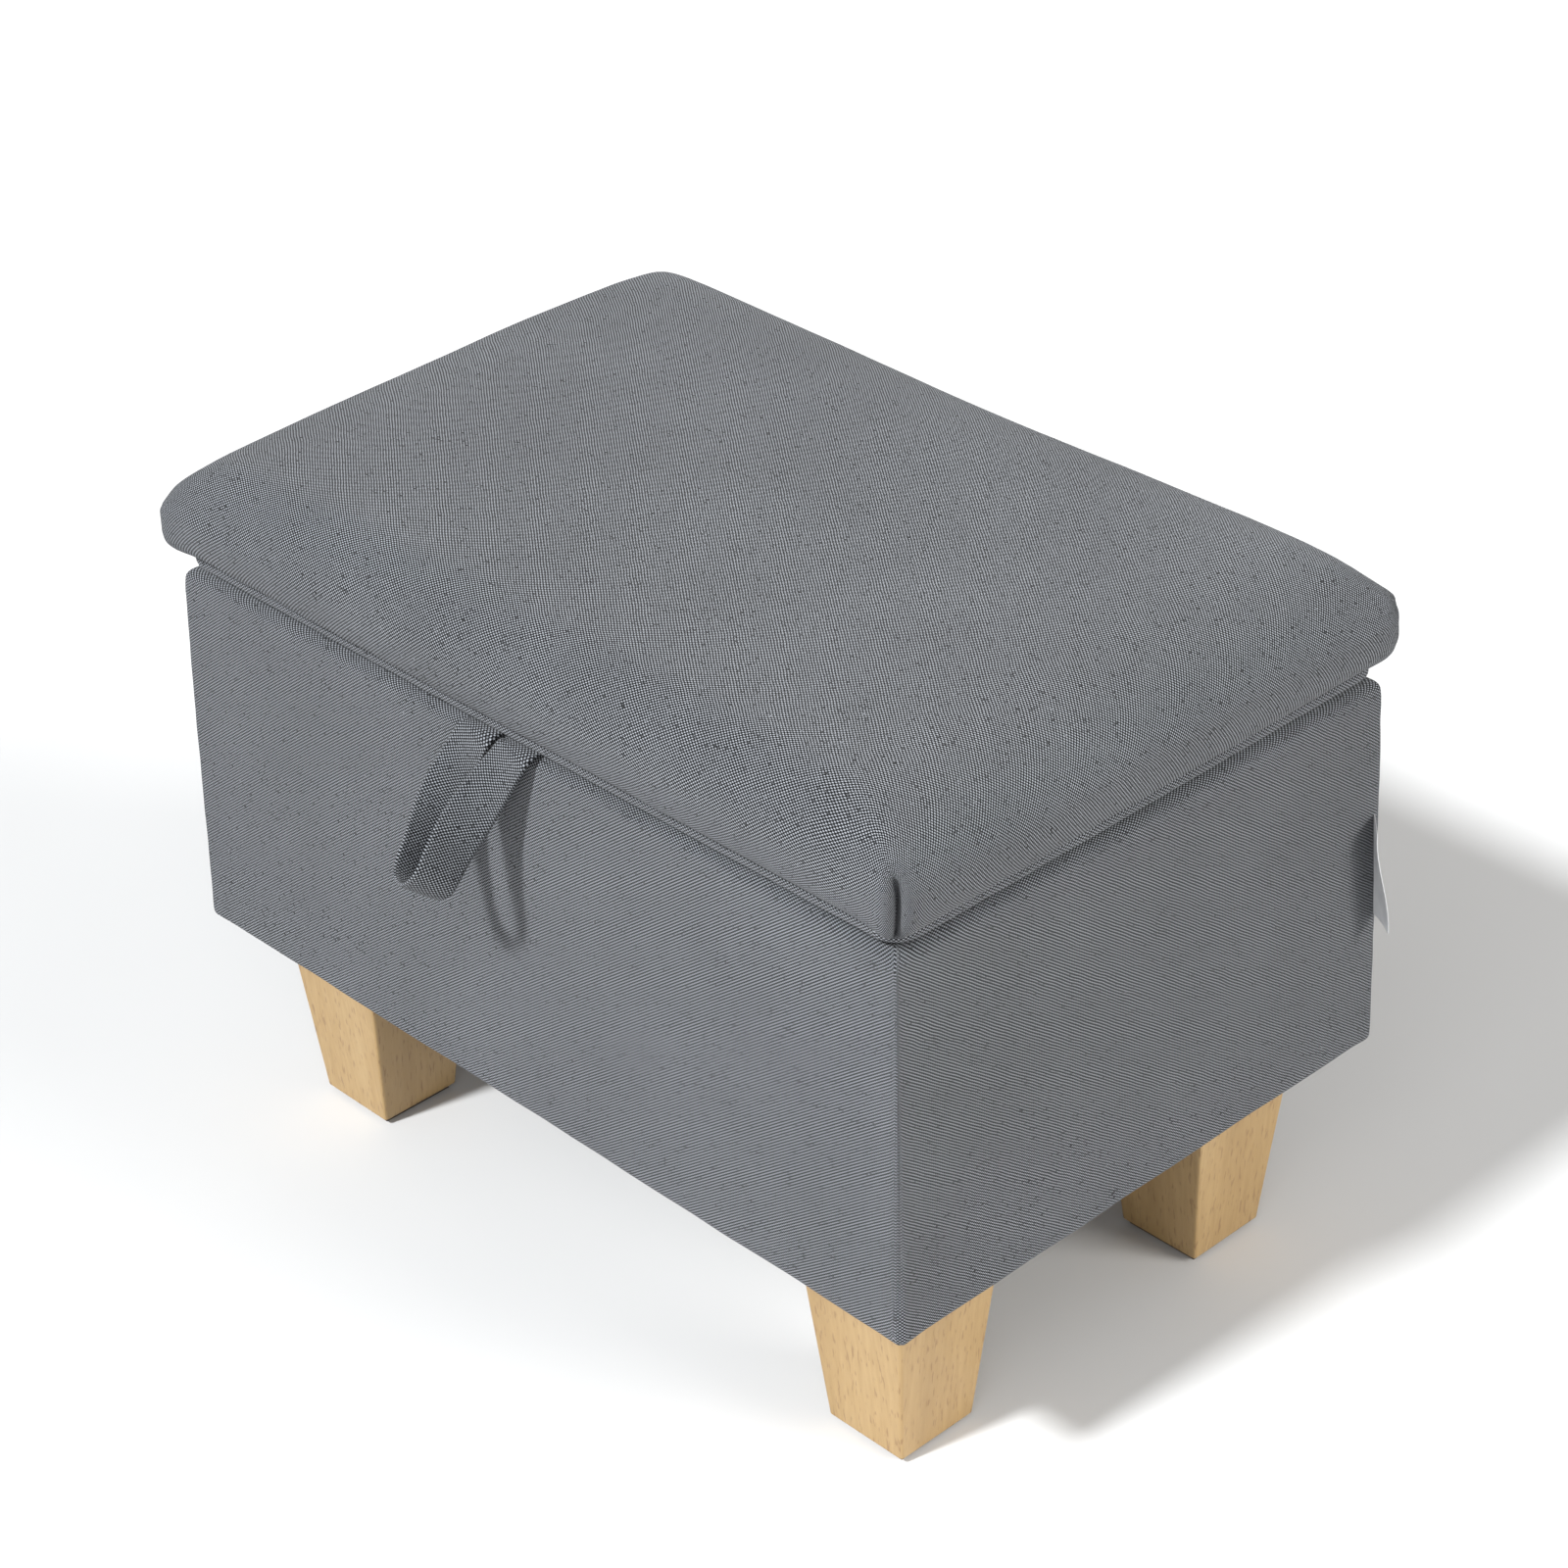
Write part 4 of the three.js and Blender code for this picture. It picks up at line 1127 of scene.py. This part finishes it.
def strap_stations():
    """The tape from one sewn end to the other, as (middle, width direction, thickness)."""
    leg_steps, turn_steps, tail_steps = 34, 20, 16
    right, left = [], []
    for way, leg in ((1, right), (-1, left)):
        for step in range(tail_steps):
            back = TAIL_LENGTH * (1 - step / tail_steps)
            leg.append((STRAP_ROOT + Vector((way * STRAP_SIDE, back, 0)), X_AXIS.copy(), TAIL_THICK))
        for step in range(leg_steps + 1):
            leg.append(strap_leg(step / leg_steps, way))
    centre = STRAP_ROOT + STRAP_ALONG * STRAP_RUN + STRAP_ACROSS * STRAP_DRIFT
    turn = []
    for step in range(1, turn_steps):
        angle = math.pi / 2 - math.pi * step / turn_steps
        sideways = around_loop(math.pi / 2 - STRAP_TWIST) * (STRAP_TURN * math.sin(angle))
        middle = centre + STRAP_ALONG * (STRAP_TURN * math.cos(angle)) + sideways
        turn.append((middle, around_loop(-STRAP_TWIST), STRAP_THICK))
    stations = right + turn + left[::-1]
    for _ in range(EASE_PASSES):
        inner = zip(stations, stations[1:], stations[2:])
        eased = [tuple((a * 0.25 + b * 0.5 + c * 0.25) for a, b, c in zip(*three)) for three in inner]
        stations = [stations[0]] + eased + [stations[-1]]
    return stations


def tape_outline(thickness):
    """The tape's section as (across, out), with folded edges and a sewn groove along each."""
    half, thick = STRAP_WIDE / 2, thickness / 2
    upper = []
    for number in range(TAPE_COLUMNS + 1):
        across = lerp(-half, half, number / TAPE_COLUMNS)
        from_edge = half - abs(across)
        edge = clamp(from_edge / TAPE_FOLD)
        sewn = STITCH_DEEP * bell(from_edge - STITCH_IN, STITCH_WIDE)
        upper.append((across, thick * math.sqrt(1 - (1 - edge) ** 2) - sewn))
    return upper + [(across, -out) for across, out in reversed(upper[1:-1])]


def tape_rings(stations):
    """The tape's outline at each station, and how far along the tape each station is."""
    rings, lengths = [], []
    travelled = 0.0
    for number, (place, across, thickness) in enumerate(stations):
        before = stations[max(number - 1, 0)][0]
        after = stations[min(number + 1, len(stations) - 1)][0]
        ahead = (after - before).normalized()
        side = (across - ahead * across.dot(ahead)).normalized()
        face = ahead.cross(side)
        travelled += (place - before).length
        free = smooth(TAIL_LENGTH, TAIL_LENGTH + 8 * MM, travelled)
        ring = []
        for wide, deep in tape_outline(thickness):
            sag = TAPE_WAVE * free * ripple(travelled, wide, 0, 16 * MM, 4.0)
            ring.append(place + side * wide + face * (deep + sag))
        rings.append(ring)
        lengths.append(travelled)
    return rings, lengths


def make_strap():
    """The loop and its two sewn ends, one tape from end to end."""
    rings, lengths = tape_rings(strap_stations())
    across = [wide for wide, _ in tape_outline(STRAP_THICK)]
    count = len(across)

    def place(row, column):
        return across[column % count], lengths[row]

    faces, cloth = skin(len(rings), count, place, closed=True)
    last = (len(rings) - 1) * count
    faces += [tuple(reversed(range(count))), tuple(range(last, last + count))]
    cloth += [[(0.0, 0.0)] * count] * 2
    points = [point for ring in rings for point in ring]
    strap = build("pull_loop", points, faces, cloth, FABRIC)
    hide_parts("pull_strap", "strap_tail")
    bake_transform(strap)


# ---- blank side tag

TAG_WIDE = 20 * MM
TAG_TALL = tag_high.z - tag_low.z + 2 * MM
TAG_BOTTOM = tag_low.z - 8 * MM  # a little lower than the CAD's tag, which lies on the wall
TAG_THICK = 0.5 * MM
TAG_DROOP = 1.5 * MM
TAG_ROWS = 24
TAG_COLUMNS = 12
SEAM_IN = 1.6 * MM  # from the outside of the corner to where the tag is sewn in


def tag_point(up, out):
    """A point of the tag: up from its bottom edge and out from the seam, both as shares."""
    height = TAG_BOTTOM + up * TAG_TALL
    inset = wall_inset(height) + SEAM_IN
    turn = math.radians(lerp(-18, -46, smooth(0, 1, up)) - 8 * out * (1 - up))
    reach = Vector((math.cos(turn), math.sin(turn), 0)) * (TAG_WIDE * out)
    return Vector((BODY_X - inset, MIDDLE_Y + BODY_Y - inset, height - TAG_DROOP * out ** 2)) + reach


def make_side_tag():
    """A ribbon sewn into the back right seam, standing off the right wall and turned a little."""
    ups = [row / TAG_ROWS for row in range(TAG_ROWS + 1)]
    outs = [column / TAG_COLUMNS for column in range(TAG_COLUMNS + 1)]
    points = [tag_point(up, out) for up in ups for out in outs]

    def place(row, column):
        return outs[column] * TAG_WIDE, ups[row] * TAG_TALL

    faces, cloth = skin(len(ups), len(outs), place)
    tag = build("blank_side_tag", points, faces, cloth, RIBBON, "base")
    thicken(tag, TAG_THICK, 0.0)
    subdivide(tag)
    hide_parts("side_tag")


# ---- studio

FLOOR_HALF = 40.0  # so large that no view shows its edge


def make_floor():
    corners = [(-1, -1), (1, -1), (1, 1), (-1, 1)]
    points = [(x * FLOOR_HALF, y * FLOOR_HALF, 0) for x, y in corners]
    floor = build("studio_floor", points, [(0, 1, 2, 3)], [corners], FLOOR_PAINT)


def aim(piece, direction):
    piece.rotation_euler = direction.to_track_quat("-Z", "Y").to_euler()


def make_sun(name, travel, spread, strength, color):
    data = bpy.data.lights.new(name, "SUN")
    data.angle = math.radians(spread)
    data.energy = strength
    data.color = color
    light = bpy.data.objects.new(name, data)
    bpy.context.scene.collection.objects.link(light)
    aim(light, Vector(travel))


def make_soft_box(name, place, target, size, watts):
    data = bpy.data.lights.new(name, "AREA")
    data.size = size
    data.energy = watts
    light = bpy.data.objects.new(name, data)
    light.location = place
    bpy.context.scene.collection.objects.link(light)
    aim(light, target - place)


def make_studio():
    """A key from the front, a small soft box on the front right corner, and a fill from the right."""
    front_corner = Vector((BODY_X, front_low.y, RIM))
    make_sun("key", (0.075, 0.68, -0.73), 6, 4.2, (0.965, 0.985, 1.0))
    make_soft_box("front_box", Vector((0.70, -0.85, 0.95)), front_corner, 0.5, 3.2)
    make_sun("right_fill", (-0.80, -0.30, -0.45), 30, 2.3, (1.0, 0.98, 0.94))
    world = bpy.data.worlds.new("studio")
    bpy.context.scene.world = world
    world.use_nodes = True
    background = world.node_tree.nodes["Background"]
    background.inputs["Color"].default_value = (1, 1, 1, 1)
    background.inputs["Strength"].default_value = 0.45
    bpy.context.scene.view_settings.view_transform = "Standard"


CAMERA_AZIMUTH = math.radians(46.66)  # from the front towards the right end
CAMERA_ELEVATION = math.radians(32.0)
CAMERA_ROLL = math.radians(-1.54)
CAMERA_DISTANCE = 2.074
CAMERA_LENS = 92.83
CAMERA_SENSOR = 36
MODEL_MIDDLE = Vector((0, MIDDLE_Y, 0.1993))
FRAMING_RIGHT = 0.0073  # how far from the model's middle the camera looks
FRAMING_UP = 0.0299


def make_camera():
    """A camera at the photograph's viewing angle."""
    level = math.cos(CAMERA_ELEVATION)
    back = Vector(
        (math.sin(CAMERA_AZIMUTH) * level, -math.cos(CAMERA_AZIMUTH) * level, math.sin(CAMERA_ELEVATION))
    )
    right = Vector((math.cos(CAMERA_AZIMUTH), math.sin(CAMERA_AZIMUTH), 0))
    up = back.cross(right)
    place = MODEL_MIDDLE + right * FRAMING_RIGHT + up * FRAMING_UP + back * CAMERA_DISTANCE
    across = right * math.cos(CAMERA_ROLL) + up * math.sin(CAMERA_ROLL)
    upward = up * math.cos(CAMERA_ROLL) - right * math.sin(CAMERA_ROLL)
    turned = Matrix((across, upward, back)).transposed().to_4x4()
    data = bpy.data.cameras.new("camera")
    data.lens = CAMERA_LENS
    data.sensor_width = CAMERA_SENSOR
    camera = bpy.data.objects.new("camera", data)
    camera.matrix_world = Matrix.Translation(place) @ turned
    bpy.context.scene.collection.objects.link(camera)
    bpy.context.scene.camera = camera


make_camera()
make_body_cover()
make_lid_edge()
make_cushion()
make_strap()
make_side_tag()
make_floor()
make_studio()
